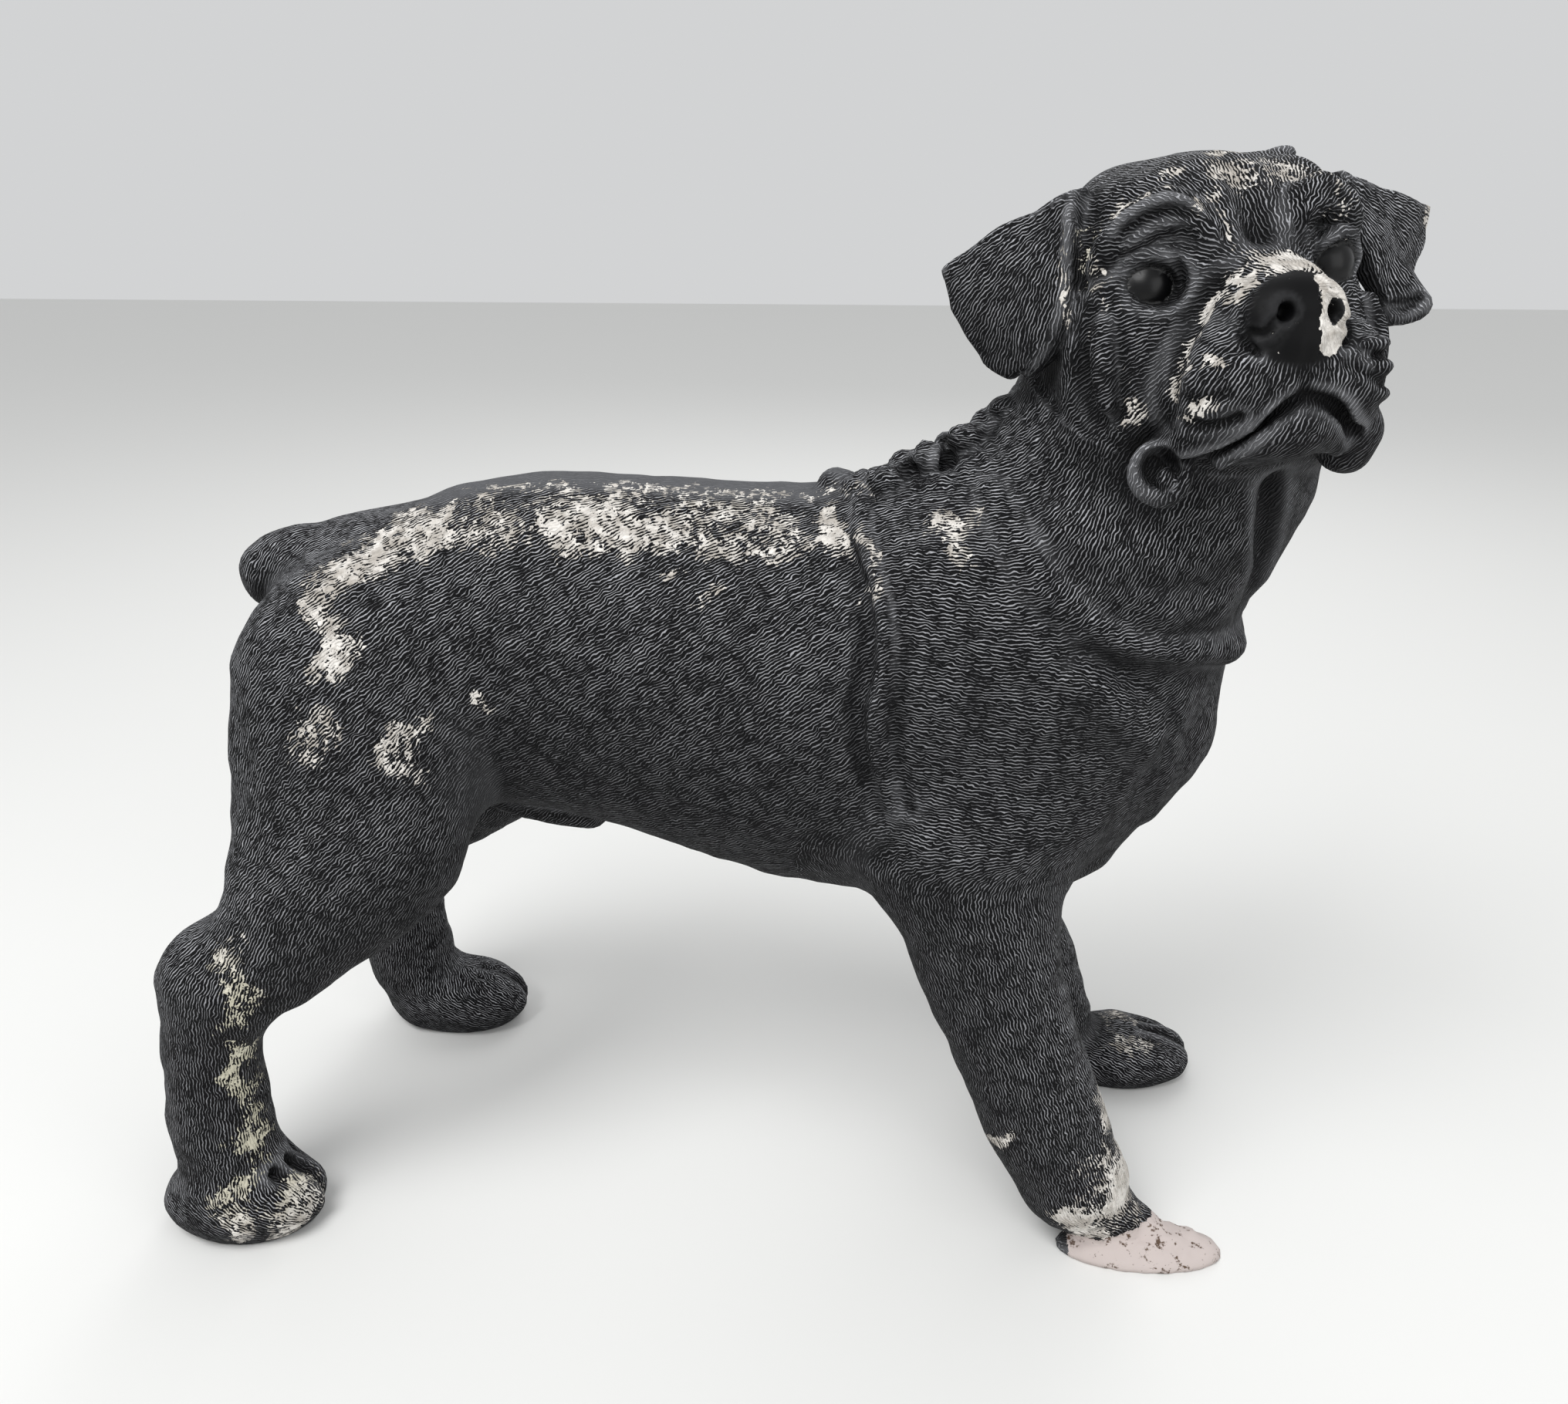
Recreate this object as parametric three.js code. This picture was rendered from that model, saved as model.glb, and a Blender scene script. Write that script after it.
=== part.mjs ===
import * as THREE from "three";

// A cast dog in one solid. It is modelled as one smooth distance field: round forms are blended into each
// other, grooves are taken away, and the surface is then covered with triangles and thinned out.
// Numbers inside the figure are thousandths of its height: x towards the chest, y to the dog's left, z up.

// Driving sizes, in millimetres
const HEIGHT = 670;
const EAR_THICKNESS = 10;
const EYE_RADIUS = 15;
const WRINKLE = 3.4;
const CREASE = 3;
const LIP_GROOVE = 3.2;
const TOE_GROOVE = 2.7;
const NECK_FOLD = 8;
const SHOULDER_RIDGE = 6;
const SPINE_LUMP = 8;

// How finely the figure is covered
const CELL = 5.2;
const FACES = 9800;
const HEAD_CARE = 8;
const EYE_CARE = 60;

const SHARE = HEIGHT / 1000;
const share = (mm) => mm / SHARE;
const { abs, min, max, hypot, sqrt, cos, sin } = Math;
const radians = (degrees) => (degrees * Math.PI) / 180;
const clamp = (value, low, high) => min(max(value, low), high);

// smallest of two distances, rounded over a width where they meet
function blend(a, b, width) {
  const near = max(width - abs(a - b), 0) / width;
  return min(a, b) - (near * near * width) / 4;
}

// Frames: an origin with forward, left and up axes
function frame(at, yaw = 0, pitch = 0, roll = 0) {
  const [y, p, r] = [yaw, pitch, roll].map(radians);
  const forward = [cos(y) * cos(p), sin(y) * cos(p), sin(p)];
  const level = [-sin(y), cos(y), 0];
  const over = cross(forward, level);
  const left = level.map((v, i) => v * cos(r) + over[i] * sin(r));
  const up = over.map((v, i) => v * cos(r) - level[i] * sin(r));
  return { at, axes: [forward, left, up] };
}

function cross(a, b) {
  return [a[1] * b[2] - a[2] * b[1], a[2] * b[0] - a[0] * b[2], a[0] * b[1] - a[1] * b[0]];
}

function unit(v) {
  const length = hypot(...v);
  return v.map((part) => part / length);
}

function inside(placed, x, y, z) {
  const a = x - placed.at[0];
  const b = y - placed.at[1];
  const c = z - placed.at[2];
  const [f, l, u] = placed.axes;
  return [
    f[0] * a + f[1] * b + f[2] * c,
    l[0] * a + l[1] * b + l[2] * c,
    u[0] * a + u[1] * b + u[2] * c,
  ];
}

function outside(placed, q) {
  return [0, 1, 2].map((i) => placed.at[i] + placed.axes.reduce((sum, axis, n) => sum + axis[i] * q[n], 0));
}

// Forms: each has a middle, a reach from it and a distance at a point
function ball(at, radii, pitch = 0) {
  const tilt = radians(pitch);
  const [c, s] = [cos(tilt), sin(tilt)];
  const [rx, ry, rz] = radii;
  const distance = (x, y, z) => {
    const dx = x - at[0];
    const dz = z - at[2];
    let a = (dx * c + dz * s) / rx;
    let b = (y - at[1]) / ry;
    let e = (dz * c - dx * s) / rz;
    const first = sqrt(a * a + b * b + e * e);
    a /= rx;
    b /= ry;
    e /= rz;
    const second = sqrt(a * a + b * b + e * e);
    return second < 1e-9 ? -min(rx, ry, rz) : (first * (first - 1)) / second;
  };
  return { at, reach: max(rx, ry, rz), distance };
}

// a smooth row of points through a few given ones, any number of values each
function smoothRow(points, steps = 3) {
  const row = [];
  for (let i = 0; i + 1 < points.length; i++) {
    const before = points[max(i - 1, 0)];
    const here = points[i];
    const next = points[i + 1];
    const after = points[min(i + 2, points.length - 1)];
    for (let k = 0; k < steps; k++) {
      const t = k / steps;
      row.push(here.map((v, j) => v + 0.5 * t * (next[j] - before[j]
        + t * (2 * before[j] - 5 * v + 4 * next[j] - after[j] + t * (3 * (v - next[j]) + after[j] - before[j])))));
    }
  }
  row.push([...points[points.length - 1]]);
  return row;
}

// a limb through points of x, y, z and radius; wide stretches it sideways
function limb(points, wide = 1) {
  const row = smoothRow(points, 5);
  const low = [0, 1, 2].map((i) => min(...row.map((p) => p[i])));
  const high = [0, 1, 2].map((i) => max(...row.map((p) => p[i])));
  const at = low.map((v, i) => (v + high[i]) / 2);
  const reach = max(...row.map((p) => hypot(p[0] - at[0], p[1] - at[1], p[2] - at[2]) + p[3]));
  const pieces = row.slice(1).map((end, i) => {
    const start = row[i];
    const run = [end[0] - start[0], (end[1] - start[1]) / wide, end[2] - start[2]];
    return [...start, ...run, 1 / (run[0] ** 2 + run[1] ** 2 + run[2] ** 2), end[3] - start[3]];
  });
  const distance = (x, y, z) => {
    let nearest = Infinity;
    let radius = 0;
    for (const piece of pieces) {
      const a = x - piece[0];
      const b = (y - piece[1]) / wide;
      const c = z - piece[2];
      const t = clamp((a * piece[4] + b * piece[5] + c * piece[6]) * piece[7], 0, 1);
      const u = a - piece[4] * t;
      const v = b - piece[5] * t;
      const w = c - piece[6] * t;
      const square = u * u + v * v + w * w;
      if (square >= nearest) continue;
      nearest = square;
      radius = piece[3] + piece[8] * t;
    }
    return (sqrt(nearest) - radius) * min(1, wide);
  };
  return { at, reach, distance };
}

// a ring round an axis that is turned from straight ahead
function ring(at, yaw, radius, thickness) {
  const placed = frame(at, yaw);
  const distance = (x, y, z) => {
    const [a, b, c] = inside(placed, x, y, z);
    return hypot(hypot(b, c) - radius, a) - thickness / 2;
  };
  return { at, reach: radius + thickness, distance };
}

// a trunk along x through stations of x, top, bottom and half width, oval across
function trunk(stations) {
  const first = stations[0][0];
  const last = stations[stations.length - 1][0];
  const row = smoothRow(stations, 8);
  const distance = (x, y, z) => {
    const held = clamp(x, first, last);
    let i = 0;
    while (i + 2 < row.length && held > row[i + 1][0]) i++;
    const t = clamp((held - row[i][0]) / (row[i + 1][0] - row[i][0]), 0, 1);
    const top = row[i][1] + (row[i + 1][1] - row[i][1]) * t;
    const bottom = row[i][2] + (row[i + 1][2] - row[i][2]) * t;
    const wide = row[i][3] + (row[i + 1][3] - row[i][3]) * t;
    const tall = (top - bottom) / 2;
    const rise = z - (top + bottom) / 2;
    const one = hypot(y / wide, rise / tall);
    const two = hypot(y / (wide * wide), rise / (tall * tall));
    const round = two < 1e-9 ? -wide : (one * (one - 1)) / two;
    const over = abs(x - held);
    return over > 0 ? hypot(max(round, 0), over) : round;
  };
  return { at: [(first + last) / 2, 0, 540], reach: (last - first) / 2 + 210, distance };
}

// a thin flap inside an outline of points; push bulges its middle along its own normal
function flap(outline, thickness, push) {
  const count = outline.length;
  const at = [0, 1, 2].map((i) => outline.reduce((sum, p) => sum + p[i], 0) / count);
  const normal = unit(outline.reduce((sum, a, i) => {
    const b = outline[(i + 1) % count];
    return sum.map((v, k) => v + (a[(k + 1) % 3] - b[(k + 1) % 3]) * (a[(k + 2) % 3] + b[(k + 2) % 3]));
  }, [0, 0, 0]));
  const toFirst = outline[0].map((v, i) => v - at[i]);
  const lean = toFirst.reduce((sum, v, i) => sum + v * normal[i], 0);
  const along = unit(toFirst.map((v, i) => v - lean * normal[i]));
  const placed = { at, axes: [along, cross(normal, along), normal] };
  const flat = outline.map((p) => inside(placed, ...p));
  const size = flat.reduce((sum, p) => sum + hypot(p[0], p[1]), 0) / count;
  const soft = thickness * 0.27;
  const distance = (x, y, z) => {
    const [u, v, w] = inside(placed, x, y, z);
    let nearest = Infinity;
    let side = 1;
    let heights = 0;
    let weights = 0;
    for (let i = 0; i < count; i++) {
      const a = flat[i];
      const b = flat[(i + count - 1) % count];
      const ex = b[0] - a[0];
      const ey = b[1] - a[1];
      const wx = u - a[0];
      const wy = v - a[1];
      const t = clamp((wx * ex + wy * ey) / (ex * ex + ey * ey), 0, 1);
      const gap = (wx - ex * t) ** 2 + (wy - ey * t) ** 2;
      nearest = min(nearest, gap);
      const weight = 1 / (gap + 30);
      heights += weight * (a[2] + (b[2] - a[2]) * t);
      weights += weight;
      if ((v >= a[1]) !== (v >= b[1]) && u < a[0] + ((v - a[1]) * ex) / ey) side = -side;
    }
    const bend = heights / weights + push * max(0, 1 - (u * u + v * v) / (size * size));
    const a = side * sqrt(nearest) + soft;
    const b = abs(w - bend) - thickness / 2 + soft;
    return min(max(a, b), 0) + hypot(max(a, 0), max(b, 0)) - soft;
  };
  return { at, reach: max(...flat.map((p) => hypot(p[0], p[1]))) + thickness + abs(push), distance };
}

// The figure is a list of forms, added or taken away in order
const steps = [];
const add = (form, width, onHead = false) => steps.push({ form, width, onHead, takes: false });
const take = (form, width, onHead = false) => steps.push({ form, width, onHead, takes: true });
const bothSides = (make) => [1, -1].forEach(make);

// trunk, rump, neck, tail stub and sheath
add(trunk([
  [-400, 636, 480, 60], [-330, 688, 430, 92], [-250, 722, 412, 106], [-170, 734, 405, 110],
  [-80, 732, 380, 118], [0, 727, 354, 130], [90, 727, 338, 140], [180, 735, 328, 144],
  [270, 740, 322, 134], [340, 738, 355, 108], [380, 700, 410, 80],
]), 1);
add(ball([-338, 0, 584], [92, 96, 98]), 50);
add(ball([351, 0, 522], [90, 84, 112]), 28);
add(limb([[230, -2, 600, 150], [325, -6, 700, 140], [366, -22, 810, 122], [362, -48, 880, 100]], 0.84), 60);
add(limb([[-330, 0, 650, 40], [-404, 0, 648, 35], [-434, 0, 636, 33]]), 16);
add(limb([[-262, 0, 412, 12], [-190, 0, 400, 19], [-152, 0, 394, 18]]), 12);

// hind leg: side, hock and ankle in x, hock height, paw in x, knee in x, sideways places of its joints
function hindLeg(side, hip, knee, hock, hockZ, ankle, paw, across, tuck, shank) {
  add(ball([hip - 6, side * 74, 540], [106, 60, 122]), 40);
  add(limb([
    [hip - 50, side * 78, 560, 60], [hip - 66 + tuck, side * 88, 470, 62],
    [hip - 74 + tuck, side * across[0], 390, 60],
  ], 0.9), 40);
  add(limb([
    [hip - 2, side * 84, 490, 86], [knee - 4, side * across[0], 410, 84],
    [(knee + hock) / 2 + 6, side * across[1], 335, 66], [hock + 16, side * across[2], hockZ - 4, 54],
  ], 0.82), 40);
  add(limb([
    [hock + 2, side * across[2], hockZ, 48], [ankle + 4, side * (across[2] + 4), 190, shank],
    [ankle + 2, side * (across[2] + 8), 100, shank + 3], [ankle + 16, side * (across[2] + 10), 46, 46],
  ], 0.9), 22);
  add(ball([paw, side * (across[2] + 12), 28], [82, 52, 46]), 24);
}
hindLeg(-1, -330, -330, -490, 282, -508, -495, [104, 128, 148], 0, 46);
hindLeg(1, -320, -290, -425, 276, -436, -376, [104, 134, 164], 20, 48);

// foreleg: side, elbow, wrist and paw in x, paw sideways, paw half length
function foreLeg(side, elbow, wrist, paw, out, long) {
  add(ball([215, side * 92, 540], [104, 54, 165], 14), 44);
  add(limb([
    [elbow, side * 100, 430, 86], [elbow + (wrist - elbow) * 0.45, side * 112, 285, 64],
    [wrist, side * 122, 150, 59], [wrist + 34, side * (out - 2), 74, 50],
  ], 0.86), 40);
  if (long) add(ball([paw, side * out, 22], [long, 54, 38]), 24);
}
foreLeg(-1, 205, 300, 398, 124, 0);
foreLeg(1, 205, 308, 428, 134, 84);

// the right forepaw is broken: the leg runs out into a low flat rest of its toes
add(limb([[336, -122, 70, 48], [360, -124, 40, 40], [392, -128, 18, 27], [426, -134, 6, 16]]), 14);
add(ball([403, -143, 1], [81, 32, 21]), 3);

// toes: three grooves over the front of each paw
function toes(x, y, yaw, long, top) {
  const placed = frame([x, y, 0], yaw);
  const at = (forward, left, up, radius) => [...outside(placed, [forward, left, up]), radius];
  const groove = share(TOE_GROOVE);
  for (const toe of [-1, 0, 1]) {
    take(limb([
      at(long * 0.3, toe * 17, top - 3, groove * 0.6), at(long * 0.66, toe * 23, top * 0.86, groove),
      at(long * 0.93, toe * 26, top * 0.52, groove), at(long, toe * 27, 8, groove * 0.9),
    ]), 9);
  }
}
toes(-495, -160, 8, 82, 74);
toes(-376, 176, 6, 82, 74);
toes(428, 134, 0, 84, 56);

// folds of the neck and shoulder
const fold = share(NECK_FOLD);
bothSides((s) => {
  add(limb([
    [215, s * 78, 743, fold * 0.7], [231, s * 106, 713, fold], [249, s * 123, 682, fold * 1.15],
    [275, s * 127, 660, fold * 1.1], [314, s * 124, 633, fold], [354, s * 112, 620, fold * 0.9],
    [398, s * 90, 613, fold * 0.9], [428, s * 56, 606, fold], [440, 0, 602, fold],
  ]), 14);
  take(limb([
    [296, s * 146, 622, 8], [330, s * 136, 604, 11], [368, s * 122, 594, 11], [405, s * 98, 586, 9],
    [436, s * 62, 580, 7],
  ]), 18);
  add(limb([[288, s * 130, 600, 14], [320, s * 120, 570, 16], [353, s * 100, 534, 13]]), 22);
  add(limb([
    [271, s * 106, 722, 8], [310, s * 112, 704, 11], [357, s * 108, 696, 12], [400, s * 90, 710, 8],
  ]), 26);
  add(limb([[300, s * 114, 672, 6], [349, s * 108, 658, 9], [398, s * 88, 656, 8]]), 22);
  take(limb([
    [422, s * 98, 780, 4], [433, s * 86, 730, 6], [440, s * 71, 685, 6], [441, s * 61, 645, 4],
  ]), 26);
});
add(limb([[452, -24, 790, 22], [460, -12, 735, 26], [446, -4, 692, 24], [426, 0, 645, 20]]), 26);

// the ridge behind the shoulder, the fold before it and the fold at the elbow
const ridge = share(SHOULDER_RIDGE);
bothSides((s) => {
  add(limb([
    [111, s * 36, 728, ridge * 0.7], [113, s * 80, 701, ridge], [124, s * 115, 673, ridge],
    [131, s * 134, 642, ridge], [132, s * 142, 605, ridge], [127, s * 146, 570, ridge * 1.1],
    [134, s * 147, 522, ridge], [144, s * 150, 486, ridge * 0.7],
  ]), 6);
  take(limb([
    [98, s * 80, 704, 4], [108, s * 114, 674, 6], [114, s * 133, 642, 7], [115, s * 141, 605, 7],
    [110, s * 145, 570, 7], [117, s * 147, 522, 6], [128, s * 151, 486, 5],
  ]), 9);
  take(limb([
    [130, s * 88, 713, 3], [142, s * 124, 684, 4], [147, s * 142, 653, 4.5], [147, s * 150, 612, 4.5],
    [142, s * 153, 572, 4.5], [149, s * 155, 526, 4], [160, s * 156, 490, 3],
  ]), 6);
  take(limb([
    [128, s * 150, 428, 5], [147, s * 164, 460, 6], [174, s * 169, 486, 5], [206, s * 168, 498, 3],
  ]), 12);
});

// rough lumps along the nape, with pits between them
const lump = share(SPINE_LUMP);
[
  [90, -2, 728, 1.2], [108, -22, 731, 1.1], [132, -30, 738, 1.3], [150, -8, 748, 1.1], [168, -26, 757, 1.2],
  [184, -6, 764, 1], [198, -22, 774, 1.2], [214, -10, 786, 1], [228, -14, 800, 1],
].forEach(([x, y, z, big]) => add(ball([x, y, z], [lump * big * 1.2, lump * big * 1.3, lump * big]), 7));
[
  [120, -12, 742, 7], [150, -32, 749, 8], [176, -14, 770, 7], [181, -36, 757, 8], [205, -24, 796, 7],
].forEach(([x, y, z, deep]) => take(ball([x, y, z], [deep * 1.2, deep, deep]), 5));

// The head, turned to its right and a little up; origin between the eyes: forward, left, up
const HEAD = frame([386, -90, 910], -79.3, 12, 4.7);
const addHead = (form, width) => add(form, width, true);
const takeHead = (form, width) => take(form, width, true);

// skull, cheeks, muzzle and jaw
addHead(ball([-90, 0, 7], [106, 104, 94]), 40);
bothSides((s) => addHead(ball([-80, s * 56, 42], [72, 50, 52]), 24));
bothSides((s) => addHead(ball([-60, s * 68, -58], [80, 50, 70]), 34));
bothSides((s) => addHead(ball([-36, s * 72, -94], [50, 34, 46]), 20));
addHead(ball([32, 0, -34], [60, 46, 42]), 26);
bothSides((s) => addHead(ball([42, s * 42, -78], [46, 38, 44]), 18));
addHead(ball([62, 0, -68], [26, 42, 40]), 18);
addHead(ball([-4, 0, -104], [74, 58, 36]), 26);
addHead(ball([50, 0, -116], [32, 38, 18]), 12);

// brows, with the furrow between them
[0.86, -1].forEach((out) => addHead(limb([
  [-14, out * 102, 18, 10], [0, out * 90, 36, 16], [8, out * 70, 46, 18], [16, out * 52, 46, 17],
  [22, out * 36, 30, 11],
]), 10));
takeHead(limb([[30, 0, 26, 5], [20, 0, 58, 7], [-18, 0, 100, 8]]), 16);
addHead(ball([-64, 68, 94], [10, 10, 5]), 6);

// the deepest wrinkle of each brow
const wrinkle = share(WRINKLE);
takeHead(limb([
  [-4, -108, 40, wrinkle * 0.6], [8, -92, 58, wrinkle], [18, -70, 66, wrinkle], [27, -48, 60, wrinkle],
  [34, -30, 44, wrinkle], [35, -24, 24, wrinkle * 0.6],
]), 5);
takeHead(limb([[37, 34, 46, wrinkle * 0.6], [34, 52, 52, wrinkle], [24, 68, 46, wrinkle * 0.6]]), 5);

// lips, lower lip, and the arched mouth between them
const lip = share(LIP_GROOVE);
bothSides((s) => addHead(limb([
  [72, s * 14, -82, 12], [66, s * 36, -95, 14], [46, s * 60, -110, 16], [26, s * 68, -120, 14],
]), 9));
addHead(limb([
  [52, -44, -130, 6], [64, -24, -117, 8], [70, 2, -109, 9], [64, 24, -117, 8], [52, 44, -130, 6],
]), 8);
takeHead(limb([
  [28, -72, -130, lip * 0.7], [50, -58, -122, lip * 0.9], [66, -35, -112, lip], [79, -14, -97, lip],
  [84, 4, -91, lip], [79, 26, -98, lip], [65, 44, -112, lip],
  [57, 57, -121, lip * 0.8], [51, 67, -130, lip * 0.6],
]), 5);

// the cup at the right corner of the mouth and the hanging lip at the left one
addHead(ring([24, -77, -133], -34, 18, 14), 5);
takeHead(ball([33, -83, -132], [18, 14, 16]), 3);
addHead(ball([26, -74, -140], [10, 7, 10]), 2);
addHead(ball([30, 66, -118], [26, 23, 25]), 10);
addHead(ball([24, 66, -134], [18, 17, 17]), 8);

// the crease from the nose to the lip corner and the folds of the cheek
const crease = share(CREASE);
bothSides((s) => takeHead(limb([
  [44, s * 36, -3, crease * 0.6], [40, s * 50, -20, crease], [44, s * 64, -42, crease * 1.3],
  [49, s * 76, -64, crease * 1.3], [48, s * 82, -84, crease], [36, s * 82, -102, crease * 0.7],
]), 12));
bothSides((s) => takeHead(limb([
  [-13, s * 115, -14, 6], [-15, s * 118, -38, 10], [-17, s * 117, -64, 10], [-12, s * 111, -94, 7],
]), 10));
bothSides((s) => addHead(limb([[-4, s * 104, -26, 7], [-2, s * 108, -52, 9], [-2, s * 106, -80, 7]]), 8));
bothSides((s) => addHead(limb([
  [-36, s * 112, -40, 8], [-42, s * 116, -70, 10], [-40, s * 108, -106, 8],
]), 12));
[[78, 52, -60], [76, 56, -76], [70, 58, -94]].forEach((at) => addHead(ball(at, [12, 14, 7]), 4));

// nose, set off by a groove round its edge
addHead(ball([72, 0, -30], [23, 37, 23]), 6);
bothSides((s) => addHead(ball([76, s * 22, -40], [18, 16, 19]), 5));
addHead(ball([76, 0, -54], [20, 20, 18]), 6);
bothSides((s) => takeHead(limb([
  [78, s * 6, -4, 2], [76, s * 22, -9, 2.5], [75, s * 36, -22, 2.5], [78, s * 39, -42, 2.5],
  [83, s * 31, -58, 2],
]), 4));
[[95, -14, -33], [95, 19, -35]].forEach((at) => takeHead(ball(at, [15, 6, 7]), 2));
takeHead(limb([[101, 1, -44, 2.5], [98, 0, -60, 4], [93, 0, -72, 4], [86, 1, -88, 3]]), 4);

// eyes with their lids
const eye = share(EYE_RADIUS);
const eyeAt = (s, x, y, z) => {
  takeHead(ball([x + 26, y, z + 1], [14, 20, 17]), 9);
  addHead(ball([x, y, z], [eye, eye, eye]), 1.5);
  addHead(limb([
    [x + 14, y - s * 27, z - 6, 3], [x + 22, y - s * 15, z + 12, 5], [x + 19, y, z + 20, 6],
    [x + 11, y + s * 15, z + 18, 6], [x + 1, y + s * 26, z + 4, 4],
  ]), 3);
  addHead(limb([
    [x + 14, y - s * 27, z - 8, 3], [x + 16, y - s * 8, z - 21, 4], [x + 8, y + s * 11, z - 21, 4],
    [x + 1, y + s * 26, z - 2, 3],
  ]), 4);
};
eyeAt(-1, -8, -71, -1);
eyeAt(1, -8, 68, 4);

// ears: the right one whole, the left one chipped above and curled below
const ear = share(EAR_THICKNESS);
addHead(flap([
  [-42, -98, 82], [-80, -152, 62], [-112, -192, 38], [-110, -188, 6], [-94, -168, -40], [-78, -156, -54],
  [-58, -144, -50], [-42, -126, -30], [-36, -110, 20],
], ear, 10), 9);
addHead(flap([
  [-46, 100, 74], [-97, 208, 48], [-94, 200, 22], [-76, 172, -12], [-42, 170, -34], [-38, 140, -44], [-34, 116, -6],
], ear * 0.94, -8), 9);

// the raised front edge of the right ear with the hollow beside it, and the rolled tip of the left one
addHead(limb([
  [-44, -108, 70, 4], [-37, -113, 56, 6], [-33, -117, 38, 6], [-33, -118, 12, 6], [-38, -124, -14, 6],
  [-48, -134, -38, 7], [-62, -144, -50, 6],
]), 5);
takeHead(limb([[-34, -101, 76, 8], [-26, -104, 60, 11], [-24, -108, 38, 6], [-24, -111, 8, 3]]), 6);
addHead(limb([[-38, 138, -39, 6], [-40, 152, -39, 7], [-42, 163, -36, 7], [-43, 170, -33, 6]]), 5);
takeHead(limb([[-31, 138, -30, 3], [-33, 152, -30, 4], [-35, 163, -26, 3]]), 5);

// Distance to the whole figure, negative inside; forms out of reach are skipped
function figure(x, y, z) {
  const onHead = inside(HEAD, x, y, z);
  const onBody = [x, y, z];
  let d = Infinity;
  for (let n = 0; n < steps.length; n++) {
    const step = steps[n];
    const p = step.onHead ? onHead : onBody;
    const at = step.form.at;
    const limit = step.form.reach + step.width + (step.takes ? -d : d);
    if (limit < 0 || (p[0] - at[0]) ** 2 + (p[1] - at[1]) ** 2 + (p[2] - at[2]) ** 2 > limit * limit) continue;
    const own = step.form.distance(p[0], p[1], p[2]);
    d = step.takes ? -blend(-d, own, step.width) : blend(d, own, step.width);
  }
  return max(d, -z);
}

// Covering: one point in every cell that the surface passes through, one face pair for every crossed edge
function cover(distanceAt, low, high, cell) {
  const block = 4;
  const [nx, ny, nz] = low.map((v, i) => Math.ceil((high[i] - v) / cell / block) * block + 1);
  const far = 1e3;
  const values = new Float32Array(nx * ny * nz).fill(far);
  const index = (i, j, k) => i + nx * (j + ny * k);
  const at = (i, j, k) => distanceAt(low[0] + i * cell, low[1] + j * cell, low[2] + k * cell);
  const overBlock = (i0, j0, k0, each) => {
    for (let k = k0; k <= k0 + block; k++) {
      for (let j = j0; j <= j0 + block; j++) {
        for (let i = i0; i <= i0 + block; i++) each(index(i, j, k), i, j, k);
      }
    }
  };
  for (let k = 0; k + 1 < nz; k += block) {
    for (let j = 0; j + 1 < ny; j += block) {
      for (let i = 0; i + 1 < nx; i += block) {
        const middle = at(i + block / 2, j + block / 2, k + block / 2);
        if (middle > block * cell * 1.9) continue;
        if (middle < -block * cell * 1.9) {
          overBlock(i, j, k, (n) => {
            if (values[n] === far) values[n] = -far;
          });
          continue;
        }
        overBlock(i, j, k, (n, a, b, c) => {
          if (abs(values[n]) === far) values[n] = at(a, b, c);
        });
      }
    }
  }
  closeCorners(values, nx, ny, nz, -cell * 0.01);
  const ends = [0, 1, 2, 3, 4, 5, 6, 7].map((c) => [c & 1, (c >> 1) & 1, c >> 2]);
  const offsets = ends.map(([a, b, c]) => index(a, b, c));
  const edges = [];
  for (let a = 0; a < 8; a++) {
    for (const bit of [1, 2, 4]) {
      if (!(a & bit)) edges.push([a, a | bit]);
    }
  }
  const pointOf = new Int32Array(nx * ny * nz).fill(-1);
  const points = [];
  for (let k = 0; k + 1 < nz; k++) {
    for (let j = 0; j + 1 < ny; j++) {
      for (let i = 0; i + 1 < nx; i++) {
        const here = index(i, j, k);
        let below = 0;
        for (let c = 0; c < 8; c++) below += values[here + offsets[c]] < 0 ? 1 : 0;
        if (below === 0 || below === 8) continue;
        const sum = [0, 0, 0];
        let count = 0;
        for (const [a, b] of edges) {
          const one = values[here + offsets[a]];
          const two = values[here + offsets[b]];
          if (one < 0 === two < 0) continue;
          const t = one / (one - two);
          for (let n = 0; n < 3; n++) sum[n] += ends[a][n] + t * (ends[b][n] - ends[a][n]);
          count++;
        }
        pointOf[here] = points.length;
        points.push([i, j, k].map((v, n) => low[n] + (v + sum[n] / count) * cell));
      }
    }
  }
  const faces = [];
  const pair = (a, b, c, d, turned) => {
    const [p, q, r, s] = [a, b, c, d].map((n) => pointOf[n]);
    if (turned) faces.push([p, r, q], [p, s, r]);
    else faces.push([p, q, r], [p, r, s]);
  };
  for (let k = 1; k + 1 < nz; k++) {
    for (let j = 1; j + 1 < ny; j++) {
      for (let i = 1; i + 1 < nx; i++) {
        const here = values[index(i, j, k)] < 0;
        const at0 = index(i, j, k);
        const [x, y, z] = [1, nx, nx * ny];
        if (here !== values[at0 + x] < 0) pair(at0 - y - z, at0 - z, at0, at0 - y, !here);
        if (here !== values[at0 + y] < 0) pair(at0 - x - z, at0 - z, at0, at0 - x, here);
        if (here !== values[at0 + z] < 0) pair(at0 - x - y, at0 - y, at0, at0 - x, !here);
      }
    }
  }
  return { points, faces };
}

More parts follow.
